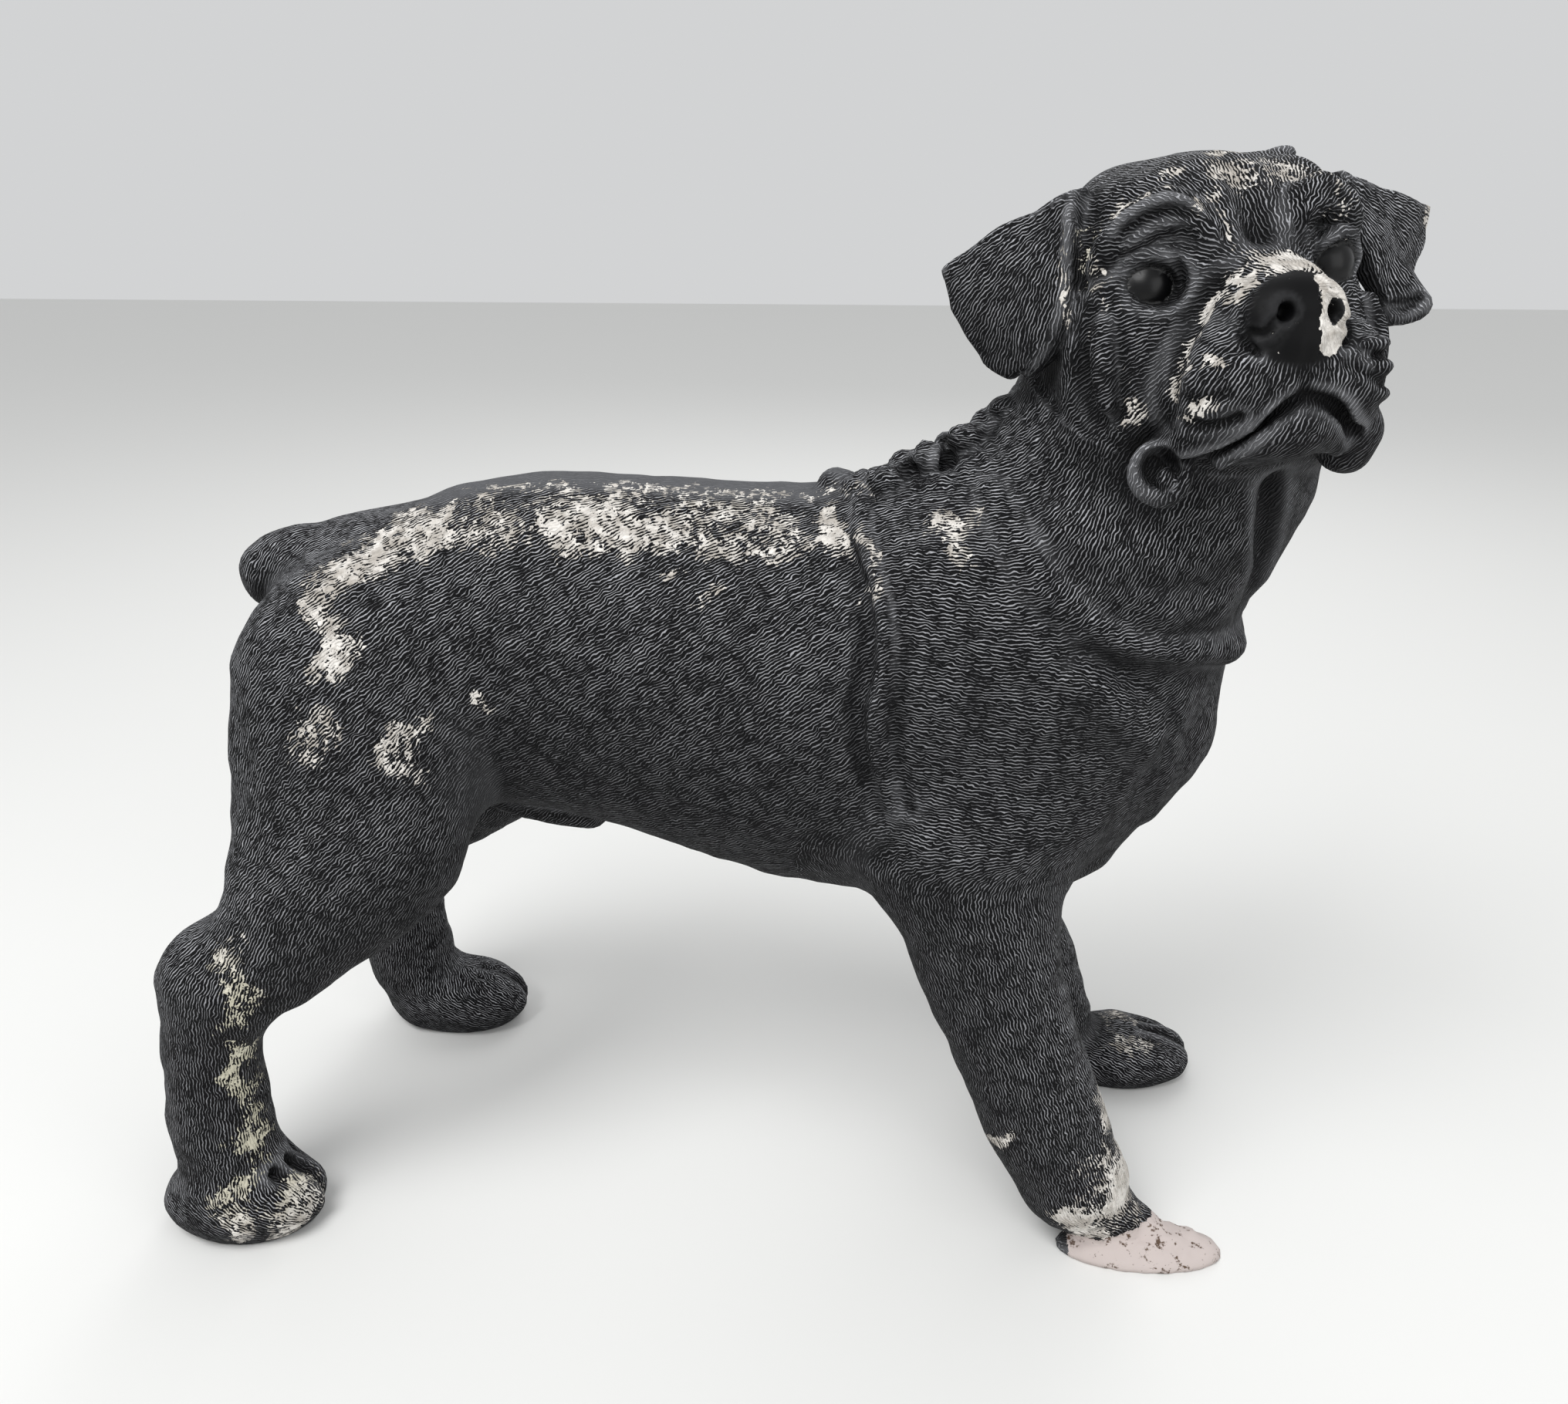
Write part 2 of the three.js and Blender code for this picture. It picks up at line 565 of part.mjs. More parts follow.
// fills a corner wherever the surface would touch itself across a cell, so that every edge has two faces
function closeCorners(values, nx, ny, nz, filled) {
  const steps3 = [1, nx, nx * ny];
  const squares = [[1, nx], [1, nx * ny], [nx, nx * ny]];
  const fill = (a, b) => {
    values[values[a] < values[b] ? a : b] = filled;
  };
  const whole = steps3[0] + steps3[1] + steps3[2];
  let again = true;
  while (again) {
    again = false;
    for (let n = 0; n + whole < values.length; n++) {
      const own = values[n] < 0;
      let changes = 0;
      for (let q = 0; q < 3; q++) changes += own === values[n + steps3[q]] < 0 ? 0 : 1;
      if (!changes && own === values[n + whole] < 0) continue;
      for (const [p, q] of squares) {
        if (own !== values[n + p + q] < 0) continue;
        if (own === values[n + p] < 0 || own === values[n + q] < 0) continue;
        if (own) fill(n + p, n + q);
        else fill(n, n + p + q);
        again = true;
      }
      for (const start of [0, ...steps3]) {
        const one = n + start;
        const two = n + whole - start;
        const sign = values[one] < 0;
        if (sign !== values[two] < 0) continue;
        let same = 0;
        for (let c = 0; c < 8; c++) {
          const corner = n + (c & 1) + ((c >> 1) & 1) * nx + (c >> 2) * nx * ny;
          same += values[corner] < 0 === sign ? 1 : 0;
        }
        if (same !== 2) continue;
        if (sign) fill(n + (start === 1 ? 0 : 1), n + (start === nx ? 0 : nx));
        else fill(one, two);
        again = true;
      }
    }
  }
}

// Thinning: the edge whose loss bends the surface least goes first
function thin({ points, faces }, target, careAt) {
  const place = points.map((p) => [...p]);
  const around = points.map(() => new Set());
  faces.forEach((face, n) => face.forEach((v) => around[v].add(n)));
  const bends = points.map(() => new Float64Array(10));
  const normalOf = (p, q, r) => cross(q.map((v, i) => v - p[i]), r.map((v, i) => v - p[i]));
  for (const face of faces) {
    const [p, q, r] = face.map((v) => place[v]);
    const full = normalOf(p, q, r);
    const area = hypot(...full);
    if (area < 1e-12) continue;
    const [a, b, c] = full.map((v) => v / area);
    const d = -(a * p[0] + b * p[1] + c * p[2]);
    const weight = area * careAt(p);
    const terms = [a * a, a * b, a * c, a * d, b * b, b * c, b * d, c * c, c * d, d * d];
    for (const v of face) terms.forEach((term, i) => (bends[v][i] += term * weight));
  }
  const costAt = (m, [x, y, z]) => m[0] * x * x + 2 * m[1] * x * y + 2 * m[2] * x * z + 2 * m[3] * x
    + m[4] * y * y + 2 * m[5] * y * z + 2 * m[6] * y + m[7] * z * z + 2 * m[8] * z + m[9];
  const bestPlace = (m, p, q) => {
    const middle = p.map((v, i) => (v + q[i]) / 2);
    if (p[2] === 0 || q[2] === 0) {
      const onSole = p[2] === q[2] ? [p, q, middle] : [p[2] === 0 ? p : q];
      return onSole.reduce((best, option) => (costAt(m, option) < costAt(m, best) ? option : best));
    }
    const one = m[4] * m[7] - m[5] * m[5];
    const two = m[1] * m[7] - m[5] * m[2];
    const three = m[1] * m[5] - m[4] * m[2];
    const whole = m[0] * one - m[1] * two + m[2] * three;
    const size = m[0] + m[4] + m[7];
    const options = [p, q, middle];
    if (abs(whole) > 1e-5 * size ** 3) {
      const x = -(m[3] * one - m[1] * (m[6] * m[7] - m[5] * m[8]) + m[2] * (m[6] * m[5] - m[4] * m[8])) / whole;
      const y = -(m[0] * (m[6] * m[7] - m[8] * m[5]) - m[3] * two + m[2] * (m[1] * m[8] - m[6] * m[2])) / whole;
      const z = -(m[0] * (m[4] * m[8] - m[6] * m[5]) - m[1] * (m[1] * m[8] - m[6] * m[2]) + m[3] * three) / whole;
      if (hypot(x - middle[0], y - middle[1], z - middle[2]) < 2 * hypot(p[0] - q[0], p[1] - q[1], p[2] - q[2])) {
        options.push([x, y, max(z, 0.5)]);
      }
    }
    return options.reduce((best, option) => (costAt(m, option) < costAt(m, best) ? option : best));
  };
  const marks = new Int32Array(points.length);
  const heap = [];
  const lift = (item) => {
    let n = heap.push(item) - 1;
    while (n > 0 && heap[(n - 1) >> 1].cost > item.cost) {
      heap[n] = heap[(n - 1) >> 1];
      n = (n - 1) >> 1;
    }
    heap[n] = item;
  };
  const drop = () => {
    const top = heap[0];
    const last = heap.pop();
    if (!heap.length) return top;
    let n = 0;
    for (;;) {
      let child = 2 * n + 1;
      if (child >= heap.length) break;
      if (child + 1 < heap.length && heap[child + 1].cost < heap[child].cost) child++;
      if (heap[child].cost >= last.cost) break;
      heap[n] = heap[child];
      n = child;
    }
    heap[n] = last;
    return top;
  };
  const offer = (a, b) => {
    const sum = bends[a].map((v, i) => v + bends[b][i]);
    const to = bestPlace(sum, place[a], place[b]);
    lift({ cost: max(costAt(sum, to), 0), a, b, to, sum, mark: marks[a] + marks[b] });
  };
  const neighbours = (v) => {
    const found = new Set();
    for (const n of around[v]) faces[n].forEach((other) => other !== v && found.add(other));
    return found;
  };
  faces.forEach((face) => face.forEach((a, i) => {
    const b = face[(i + 1) % 3];
    if (a < b) offer(a, b);
  }));
  const turnsOver = (v, other, to) => {
    for (const n of around[v]) {
      const face = faces[n];
      if (face.includes(other)) continue;
      const before = unit(normalOf(...face.map((w) => place[w])));
      const after = normalOf(...face.map((w) => (w === v ? to : place[w])));
      const size = hypot(...after);
      if (size < 1e-6 || before.reduce((sum, c, i) => sum + c * after[i], 0) < 0.35 * size) return true;
    }
    return false;
  };
  let left = faces.length;
  while (left > target && heap.length) {
    const { a, b, to, sum, mark } = drop();
    if (!around[a].size || !around[b].size || marks[a] + marks[b] !== mark) continue;
    const near = neighbours(a);
    if (!near.has(b)) continue;
    let shared = 0;
    for (const v of neighbours(b)) shared += near.has(v) ? 1 : 0;
    if (shared !== 2 || turnsOver(a, b, to) || turnsOver(b, a, to)) continue;
    for (const n of [...around[b]]) {
      if (around[a].has(n)) {
        faces[n].forEach((v) => around[v].delete(n));
        faces[n] = null;
        left--;
      } else {
        faces[n][faces[n].indexOf(b)] = a;
        around[a].add(n);
      }
    }
    around[b].clear();
    place[a] = to;
    bends[a] = sum;
    marks[a]++;
    marks[b]++;
    for (const v of neighbours(a)) offer(a, v);
  }
  return { points: place, faces: faces.filter(Boolean) };
}

// keeps the one big body and drops specks
function biggestPiece({ points, faces }) {
  const root = Int32Array.from(points, (_, i) => i);
  const find = (v) => {
    while (root[v] !== v) {
      root[v] = root[root[v]];
      v = root[v];
    }
    return v;
  };
  for (const [a, b, c] of faces) {
    root[find(a)] = find(b);
    root[find(b)] = find(c);
  }
  const sizes = new Map();
  faces.forEach(([a]) => sizes.set(find(a), (sizes.get(find(a)) ?? 0) + 1));
  const main = [...sizes].reduce((best, item) => (item[1] > best[1] ? item : best))[0];
  return { points, faces: faces.filter(([a]) => find(a) === main) };
}

// Build: cover, keep the body, thin it, and set it on the ground in millimetres
function build() {
  const low = [-620, -270, -1.5 * CELL];
  const high = [640, 290, 1040];
  const covered = biggestPiece(cover(figure, low, high, CELL));
  for (const p of covered.points) {
    if (p[2] < CELL * 0.45) p[2] = 0;
  }
  const eyesAndNose = [[10, -71, 0, 36], [8, 68, 4, 36], [88, 0, -36, 44], [26, -78, -133, 36]];
  const careAt = (p) => {
    const [a, b, c] = inside(HEAD, ...p);
    if (eyesAndNose.some(([x, y, z, reach]) => hypot(a - x, b - y, c - z) < reach)) return EYE_CARE;
    return hypot(p[0] - 370, p[1] + 60, p[2] - 880) < 230 ? HEAD_CARE : 1;
  };
  const { points, faces } = thin(covered, FACES, careAt);
  const used = new Map();
  faces.flat().forEach((v) => used.has(v) || used.set(v, used.size));
  const kept = [...used.keys()].map((v) => points[v]);
  const middle = [0, 1].map((i) => (min(...kept.map((p) => p[i])) + max(...kept.map((p) => p[i]))) / 2);
  const positions = kept.flatMap(([x, y, z]) => [(x - middle[0]) * SHARE, (y - middle[1]) * SHARE, z * SHARE]);
  const geometry = new THREE.BufferGeometry();
  geometry.setAttribute("position", new THREE.Float32BufferAttribute(positions, 3));
  geometry.setIndex(faces.flat().map((v) => used.get(v)));
  geometry.computeVertexNormals();
  return geometry;
}

const paint = new THREE.MeshStandardMaterial({ color: "#3a3a3b", roughness: 0.75, metalness: 0 });
const dog = new THREE.Mesh(build(), paint);
dog.name = "dog";

const root = new THREE.Group();
root.name = "dog_garden_statue";
root.add(dog);

export default root;
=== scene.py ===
# %% [markdown]
# # A cast garden dog
# The real object is a concrete cast of a standing dog, painted black, with fur combed into its surface and
# paint that has worn down to pale cement. It is one piece, so the scene has one mesh. We start by loading the
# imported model, which fixes where everything is. All coordinates in Blender are metres, with Z up.

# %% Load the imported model
import math

import bpy
import mathutils
import numpy as np
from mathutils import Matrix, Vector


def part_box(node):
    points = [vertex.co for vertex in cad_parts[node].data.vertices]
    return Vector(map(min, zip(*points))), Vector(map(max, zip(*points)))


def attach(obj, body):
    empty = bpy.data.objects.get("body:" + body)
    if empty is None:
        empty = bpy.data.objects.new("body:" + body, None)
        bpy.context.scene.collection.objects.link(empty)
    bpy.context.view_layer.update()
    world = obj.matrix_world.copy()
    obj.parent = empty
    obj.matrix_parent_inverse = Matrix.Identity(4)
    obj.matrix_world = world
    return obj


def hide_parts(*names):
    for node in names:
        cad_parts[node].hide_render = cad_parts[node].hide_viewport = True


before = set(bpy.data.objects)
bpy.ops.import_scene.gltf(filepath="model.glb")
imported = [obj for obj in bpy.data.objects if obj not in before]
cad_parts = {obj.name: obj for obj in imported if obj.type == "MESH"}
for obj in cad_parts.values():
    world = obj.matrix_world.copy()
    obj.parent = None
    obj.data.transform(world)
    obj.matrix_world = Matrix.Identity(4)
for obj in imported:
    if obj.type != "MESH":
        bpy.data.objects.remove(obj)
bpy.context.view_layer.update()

cad_low, cad_high = (np.array(corner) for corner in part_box("dog"))
print("packed dog, metres:", (cad_high - cad_low).round(3))

# %% [markdown]
# ## Measuring inside the figure
# A sculptor measures a figure in shares of its height, and so do we: places are thousandths of the height. X
# runs along the body to the chest, Y to the dog's left, Z up. One number turns a share into metres.

# %% Units
HEIGHT = 0.670
SHARE = HEIGHT / 1000


def share(millimetres):
    return millimetres / 1000 / SHARE


print("one share is", round(SHARE * 1000, 3), "mm")

# %% [markdown]
# ## Sculpting with distances
# Hand sculpting does not repeat exactly, and metaballs blur. A distance field does what a modeller does in
# clay: each form gives, for any point, how far away its surface is. Adding a form keeps the smaller distance,
# and a blend width smooths the seam as a thumb would. Taking a form away carves a groove in the same manner.


# %% Blending and turned frames
def blend(a, b, width):
    near = np.maximum(width - np.abs(a - b), 0) / width
    return np.minimum(a, b) - near * near * width / 4


def unit(vector):
    return vector / np.linalg.norm(vector)


def turned_frame(at, yaw=0, pitch=0, roll=0):
    y, p, r = (math.radians(angle) for angle in (yaw, pitch, roll))
    forward = np.array([math.cos(y) * math.cos(p), math.sin(y) * math.cos(p), math.sin(p)])
    level = np.array([-math.sin(y), math.cos(y), 0])
    over = np.cross(forward, level)
    left = level * math.cos(r) + over * math.sin(r)
    up = over * math.cos(r) - level * math.sin(r)
    return np.array(at, float), np.array([forward, left, up])


def inside(placed, x, y, z):
    at, axes = placed
    a, b, c = x - at[0], y - at[1], z - at[2]
    return tuple(axis[0] * a + axis[1] * b + axis[2] * c for axis in axes)


def outside(placed, point):
    return placed[0] + np.array(point, float) @ placed[1]


# %% [markdown]
# ## The forms
# Five kinds of form are enough for an animal: an oval ball for masses, a limb that runs through points with a
# radius at each, a ring, a trunk whose top, bottom and width change along the body, and a thin flap for ears.
# Each returns its middle, its reach and a function that measures the distance for whole arrays of points.


# %% Ball, limb and ring
def ball(at, radii, pitch=0):
    c, s = math.cos(math.radians(pitch)), math.sin(math.radians(pitch))
    rx, ry, rz = radii
    small = 1e-6

    def distance(x, y, z):
        dx, dz = x - at[0], z - at[2]
        a, b, e = (dx * c + dz * s) / rx, (y - at[1]) / ry, (dz * c - dx * s) / rz
        first = np.sqrt(a * a + b * b + e * e) + small
        second = np.sqrt((a / rx) ** 2 + (b / ry) ** 2 + (e / rz) ** 2) + small / min(radii)
        return first * (first - 1) / second

    return np.array(at, float), max(radii), distance


def smooth_row(points, steps):
    points = [np.array(point, float) for point in points]
    row = []
    for i in range(len(points) - 1):
        before, here, after_next = points[max(i - 1, 0)], points[i], points[min(i + 2, len(points) - 1)]
        ahead = points[i + 1]
        for k in range(steps):
            t = k / steps
            bend = 2 * before - 5 * here + 4 * ahead - after_next
            twist = 3 * (here - ahead) + after_next - before
            row.append(here + 0.5 * t * (ahead - before + t * (bend + t * twist)))
    return row + [points[-1]]


def limb(points, wide=1.0, steps=5):
    row = smooth_row(points, steps)
    spots = np.array(row)
    at = (spots[:, :3].min(0) + spots[:, :3].max(0)) / 2
    reach = (np.linalg.norm(spots[:, :3] - at, axis=1) + spots[:, 3]).max()
    squeeze = np.array([1, 1 / wide, 1])
    pieces = []
    for start, end in zip(row, row[1:]):
        run = (end[:3] - start[:3]) * squeeze
        pieces.append((*start[:3], start[3], *run, 1 / (run @ run), end[3] - start[3]))

    def distance(x, y, z):
        nearest = np.full(x.shape, 1e12, x.dtype)
        radius = np.zeros_like(nearest)
        for sx, sy, sz, r, rx, ry, rz, scale, growth in pieces:
            a, b, c = x - sx, (y - sy) / wide, z - sz
            t = np.clip((a * rx + b * ry + c * rz) * scale, 0, 1)
            square = (a - rx * t) ** 2 + (b - ry * t) ** 2 + (c - rz * t) ** 2
            closer = square < nearest
            nearest = np.where(closer, square, nearest)
            radius = np.where(closer, r + growth * t, radius)
        return (np.sqrt(nearest) - radius) * min(1, wide)

    return at, reach, distance


def ring(at, yaw, radius, thickness):
    placed = turned_frame(at, yaw)

    def distance(x, y, z):
        a, b, c = inside(placed, x, y, z)
        return np.hypot(np.hypot(b, c) - radius, a) - thickness / 2

    return np.array(at, float), radius + thickness, distance


# %% Trunk and ear flap
def trunk(stations):
    row = np.array(smooth_row(stations, 8))
    first, last = row[0, 0], row[-1, 0]

    def distance(x, y, z):
        held = np.clip(x, first, last)
        top, bottom, wide = (np.interp(held, row[:, 0], row[:, n]) for n in (1, 2, 3))
        tall = (top - bottom) / 2
        rise = z - (top + bottom) / 2
        one = np.hypot(y / wide, rise / tall) + 1e-6
        two = np.hypot(y / wide**2, rise / tall**2) + 1e-6 / np.minimum(wide, tall)
        round_off = one * (one - 1) / two
        over = np.abs(x - held)
        return np.where(over > 0, np.hypot(np.maximum(round_off, 0), over), round_off)

    return np.array([(first + last) / 2, 0, 540]), (last - first) / 2 + 210, distance


def flap(outline, thickness, push):
    outline = np.array(outline, float)
    at = outline.mean(0)
    turned = np.roll(outline, -1, axis=0)
    normal = unit(sum(np.cross(a, b) for a, b in zip(outline - at, turned - at)))
    along = outline[0] - at
    along = unit(along - (along @ normal) * normal)
    placed = (at, np.array([along, np.cross(normal, along), normal]))
    flat = (outline - at) @ placed[1].T
    size = np.hypot(flat[:, 0], flat[:, 1]).mean()
    soft = thickness * 0.27

    def distance(x, y, z):
        u, v, w = inside(placed, x, y, z)
        nearest = np.full(u.shape, 1e12, u.dtype)
        side = np.ones_like(nearest)
        heights = np.zeros_like(nearest)
        weights = np.zeros_like(nearest)
        for a, b in zip(flat, np.roll(flat, 1, axis=0)):
            ex, ey = b[0] - a[0], b[1] - a[1]
            wx, wy = u - a[0], v - a[1]
            t = np.clip((wx * ex + wy * ey) / (ex * ex + ey * ey), 0, 1)
            gap = (wx - ex * t) ** 2 + (wy - ey * t) ** 2
            nearest = np.minimum(nearest, gap)
            weight = 1 / (gap + 30)
            heights += weight * (a[2] + (b[2] - a[2]) * t)
            weights += weight
            crosses = ((v >= a[1]) != (v >= b[1])) & (u < a[0] + (v - a[1]) * ex / (ey or 1e-9))
            side = np.where(crosses, -side, side)
        bulge = heights / weights + push * np.maximum(0, 1 - (u * u + v * v) / (size * size))
        a = side * np.sqrt(nearest) + soft
        b = np.abs(w - bulge) - thickness / 2 + soft
        return np.minimum(np.maximum(a, b), 0) + np.hypot(np.maximum(a, 0), np.maximum(b, 0)) - soft

    reach = np.hypot(flat[:, 0], flat[:, 1]).max() + thickness + abs(push)
    return at, reach, distance


# %% The list of forms, filled in order
steps = []
HEAD = turned_frame([386, -90, 910], -79.3, 12, 4.7)


def add(form, width, on_head=False, takes=False):
    steps.append((form, width, on_head, takes))


def take(form, width):
    add(form, width, takes=True)


def add_head(form, width):
    add(form, width, on_head=True)


def take_head(form, width):
    add(form, width, on_head=True, takes=True)


BOTH = (1, -1)
print("head frame forward:", HEAD[1][0].round(3))

# %% [markdown]
# ## Trunk, neck and tail stub
# The body of a cast dog is one barrel that deepens at the chest and tucks up before the thighs. A trunk form
# gives that directly. A rump ball, a neck limb and a breast ball are melted into it, and the docked tail is a
# short blunt limb with a tight seam.

# %% Body masses
add(trunk([
    [-400, 636, 480, 60], [-330, 688, 430, 92], [-250, 722, 412, 106], [-170, 734, 405, 110],
    [-80, 732, 380, 118], [0, 727, 354, 130], [90, 727, 338, 140], [180, 735, 328, 144],
    [270, 740, 322, 134], [340, 738, 355, 108], [380, 700, 410, 80],
]), 1)
add(ball([-338, 0, 584], [92, 96, 98]), 50)
add(ball([351, 0, 522], [90, 84, 112]), 28)
add(limb([[230, -2, 600, 150], [325, -6, 700, 140], [366, -22, 810, 122], [362, -48, 880, 100]], 0.84), 60)
add(limb([[-330, 0, 650, 40], [-404, 0, 648, 35], [-434, 0, 636, 33]]), 16)
add(limb([[-262, 0, 412, 12], [-190, 0, 400, 19], [-152, 0, 394, 18]]), 12)
print("body forms:", len(steps))

# %% [markdown]
# ## Legs and paws
# Each hind leg is a haunch, a thigh that runs down to the hock and a straight shank. The two hind feet are
# staggered, so the joints are arguments. A foreleg is a shoulder blade and one long limb. The right forepaw
# has broken off, which leaves a sloping foot and a low flat rest of cement.


# %% Hind legs
def hind_leg(side, hip, knee, hock, hock_z, ankle, paw, across, tuck, shank):
    add(ball([hip - 6, side * 74, 540], [106, 60, 122]), 40)
    add(limb([
        [hip - 50, side * 78, 560, 60], [hip - 66 + tuck, side * 88, 470, 62],
        [hip - 74 + tuck, side * across[0], 390, 60],
    ], 0.9), 40)
    add(limb([
        [hip - 2, side * 84, 490, 86], [knee - 4, side * across[0], 410, 84],
        [(knee + hock) / 2 + 6, side * across[1], 335, 66], [hock + 16, side * across[2], hock_z - 4, 54],
    ], 0.82), 40)
    add(limb([
        [hock + 2, side * across[2], hock_z, 48], [ankle + 4, side * (across[2] + 4), 190, shank],
        [ankle + 2, side * (across[2] + 8), 100, shank + 3], [ankle + 16, side * (across[2] + 10), 46, 46],
    ], 0.9), 22)
    add(ball([paw, side * (across[2] + 12), 28], [82, 52, 46]), 24)


hind_leg(-1, -330, -330, -490, 282, -508, -495, [104, 128, 148], 0, 46)
hind_leg(1, -320, -290, -425, 276, -436, -376, [104, 134, 164], 20, 48)


# %% Forelegs
def fore_leg(side, elbow, wrist, out):
    add(ball([215, side * 92, 540], [104, 54, 165], 14), 44)
    add(limb([
        [elbow, side * 100, 430, 86], [elbow + (wrist - elbow) * 0.45, side * 112, 285, 64],
        [wrist, side * 122, 150, 59], [wrist + 34, side * (out - 2), 74, 50],
    ], 0.86), 40)


fore_leg(-1, 205, 300, 124)
fore_leg(1, 205, 308, 134)
add(ball([428, 134, 22], [84, 54, 38]), 24)
add(limb([[336, -122, 70, 48], [360, -124, 40, 40], [392, -128, 18, 27], [426, -134, 6, 16]]), 14)
add(ball([403, -143, 1], [81, 32, 21]), 3)


# %% Toes
def toes(x, y, yaw, long, top):
    placed = turned_frame([x, y, 0], yaw)

    def spot(forward, left, up, radius):
        return [*outside(placed, [forward, left, up]), radius]

    groove = share(2.7)
    for toe in (-1, 0, 1):
        take(limb([
            spot(long * 0.3, toe * 17, top - 3, groove * 0.6), spot(long * 0.66, toe * 23, top * 0.86, groove),
            spot(long * 0.93, toe * 26, top * 0.52, groove), spot(long, toe * 27, 8, groove * 0.9),
        ]), 9)


toes(-495, -160, 8, 82, 74)
toes(-376, 176, 6, 82, 74)
toes(428, 134, 0, 84, 56)
print("forms with legs:", len(steps))

# %% [markdown]
# ## Loose skin
# The heavy neck hangs in folds. A fold is a thin limb laid on the skin with a soft blend, and the hollow under
# it is a thin limb taken away. The same pair of moves makes the ridge behind the shoulder.

# %% Neck folds, dewlap and shoulder ridge
fold = share(8)
ridge = share(6)
for s in BOTH:
    add(limb([
        [215, s * 78, 743, fold * 0.7], [231, s * 106, 713, fold], [249, s * 123, 682, fold * 1.15],
        [275, s * 127, 660, fold * 1.1], [314, s * 124, 633, fold], [354, s * 112, 620, fold * 0.9],
        [398, s * 90, 613, fold * 0.9], [428, s * 56, 606, fold], [440, 0, 602, fold],
    ]), 14)
    take(limb([
        [296, s * 146, 622, 8], [330, s * 136, 604, 11], [368, s * 122, 594, 11],
        [405, s * 98, 586, 9], [436, s * 62, 580, 7],
    ]), 18)
    add(limb([[288, s * 130, 600, 14], [320, s * 120, 570, 16], [353, s * 100, 534, 13]]), 22)
    add(limb([
        [271, s * 106, 722, 8], [310, s * 112, 704, 11], [357, s * 108, 696, 12], [400, s * 90, 710, 8],
    ]), 26)
    add(limb([[300, s * 114, 672, 6], [349, s * 108, 658, 9], [398, s * 88, 656, 8]]), 22)
    take(limb([
        [422, s * 98, 780, 4], [433, s * 86, 730, 6], [440, s * 71, 685, 6], [441, s * 61, 645, 4],
    ]), 26)
add(limb([[452, -24, 790, 22], [460, -12, 735, 26], [446, -4, 692, 24], [426, 0, 645, 20]]), 26)
for s in BOTH:
    add(limb([
        [111, s * 36, 728, ridge * 0.7], [113, s * 80, 701, ridge], [124, s * 115, 673, ridge],
        [131, s * 134, 642, ridge], [132, s * 142, 605, ridge], [127, s * 146, 570, ridge * 1.1],
        [134, s * 147, 522, ridge], [144, s * 150, 486, ridge * 0.7],
    ]), 6)
    take(limb([
        [98, s * 80, 704, 4], [108, s * 114, 674, 6], [114, s * 133, 642, 7], [115, s * 141, 605, 7],
        [110, s * 145, 570, 7], [117, s * 147, 522, 6], [128, s * 151, 486, 5],
    ]), 9)
    take(limb([
        [130, s * 88, 713, 3], [142, s * 124, 684, 4], [147, s * 142, 653, 4.5], [147, s * 150, 612, 4.5],
        [142, s * 153, 572, 4.5], [149, s * 155, 526, 4], [160, s * 156, 490, 3],
    ]), 6)
    take(limb([
        [128, s * 150, 428, 5], [147, s * 164, 460, 6], [174, s * 169, 486, 5], [206, s * 168, 498, 3],
    ]), 12)

# %% Rough lumps along the nape, with pits between them
lump = share(8)
for x, y, z, big in (
    (90, -2, 728, 1.2), (108, -22, 731, 1.1), (132, -30, 738, 1.3), (150, -8, 748, 1.1),
    (168, -26, 757, 1.2), (184, -6, 764, 1.0), (198, -22, 774, 1.2), (214, -10, 786, 1.0), (228, -14, 800, 1.0),
):
    add(ball([x, y, z], [lump * big * 1.2, lump * big * 1.3, lump * big]), 7)
for x, y, z, deep in (
    (120, -12, 742, 7), (150, -32, 749, 8), (176, -14, 770, 7), (181, -36, 757, 8), (205, -24, 796, 7),
):
    take(ball([x, y, z], [deep * 1.2, deep, deep]), 5)

# %% [markdown]
# ## The head
# The head looks over the dog's right shoulder, so it is built straight in its own turned frame: forward, left,
# up, with its origin between the eyes. Skull, cheeks, muzzle and jaw come first, then brows, lips and nose.

# %% Skull, cheeks, muzzle and brows
add_head(ball([-90, 0, 7], [106, 104, 94]), 40)
for s in BOTH:
    add_head(ball([-80, s * 56, 42], [72, 50, 52]), 24)
for s in BOTH:
    add_head(ball([-60, s * 68, -58], [80, 50, 70]), 34)
for s in BOTH:
    add_head(ball([-36, s * 72, -94], [50, 34, 46]), 20)
add_head(ball([32, 0, -34], [60, 46, 42]), 26)
for s in BOTH:
    add_head(ball([42, s * 42, -78], [46, 38, 44]), 18)
add_head(ball([62, 0, -68], [26, 42, 40]), 18)
add_head(ball([-4, 0, -104], [74, 58, 36]), 26)
add_head(ball([50, 0, -116], [32, 38, 18]), 12)
take_head(limb([[30, 0, 26, 5], [20, 0, 58, 7], [-18, 0, 100, 8]]), 16)
add_head(ball([-64, 68, 94], [10, 10, 5]), 6)

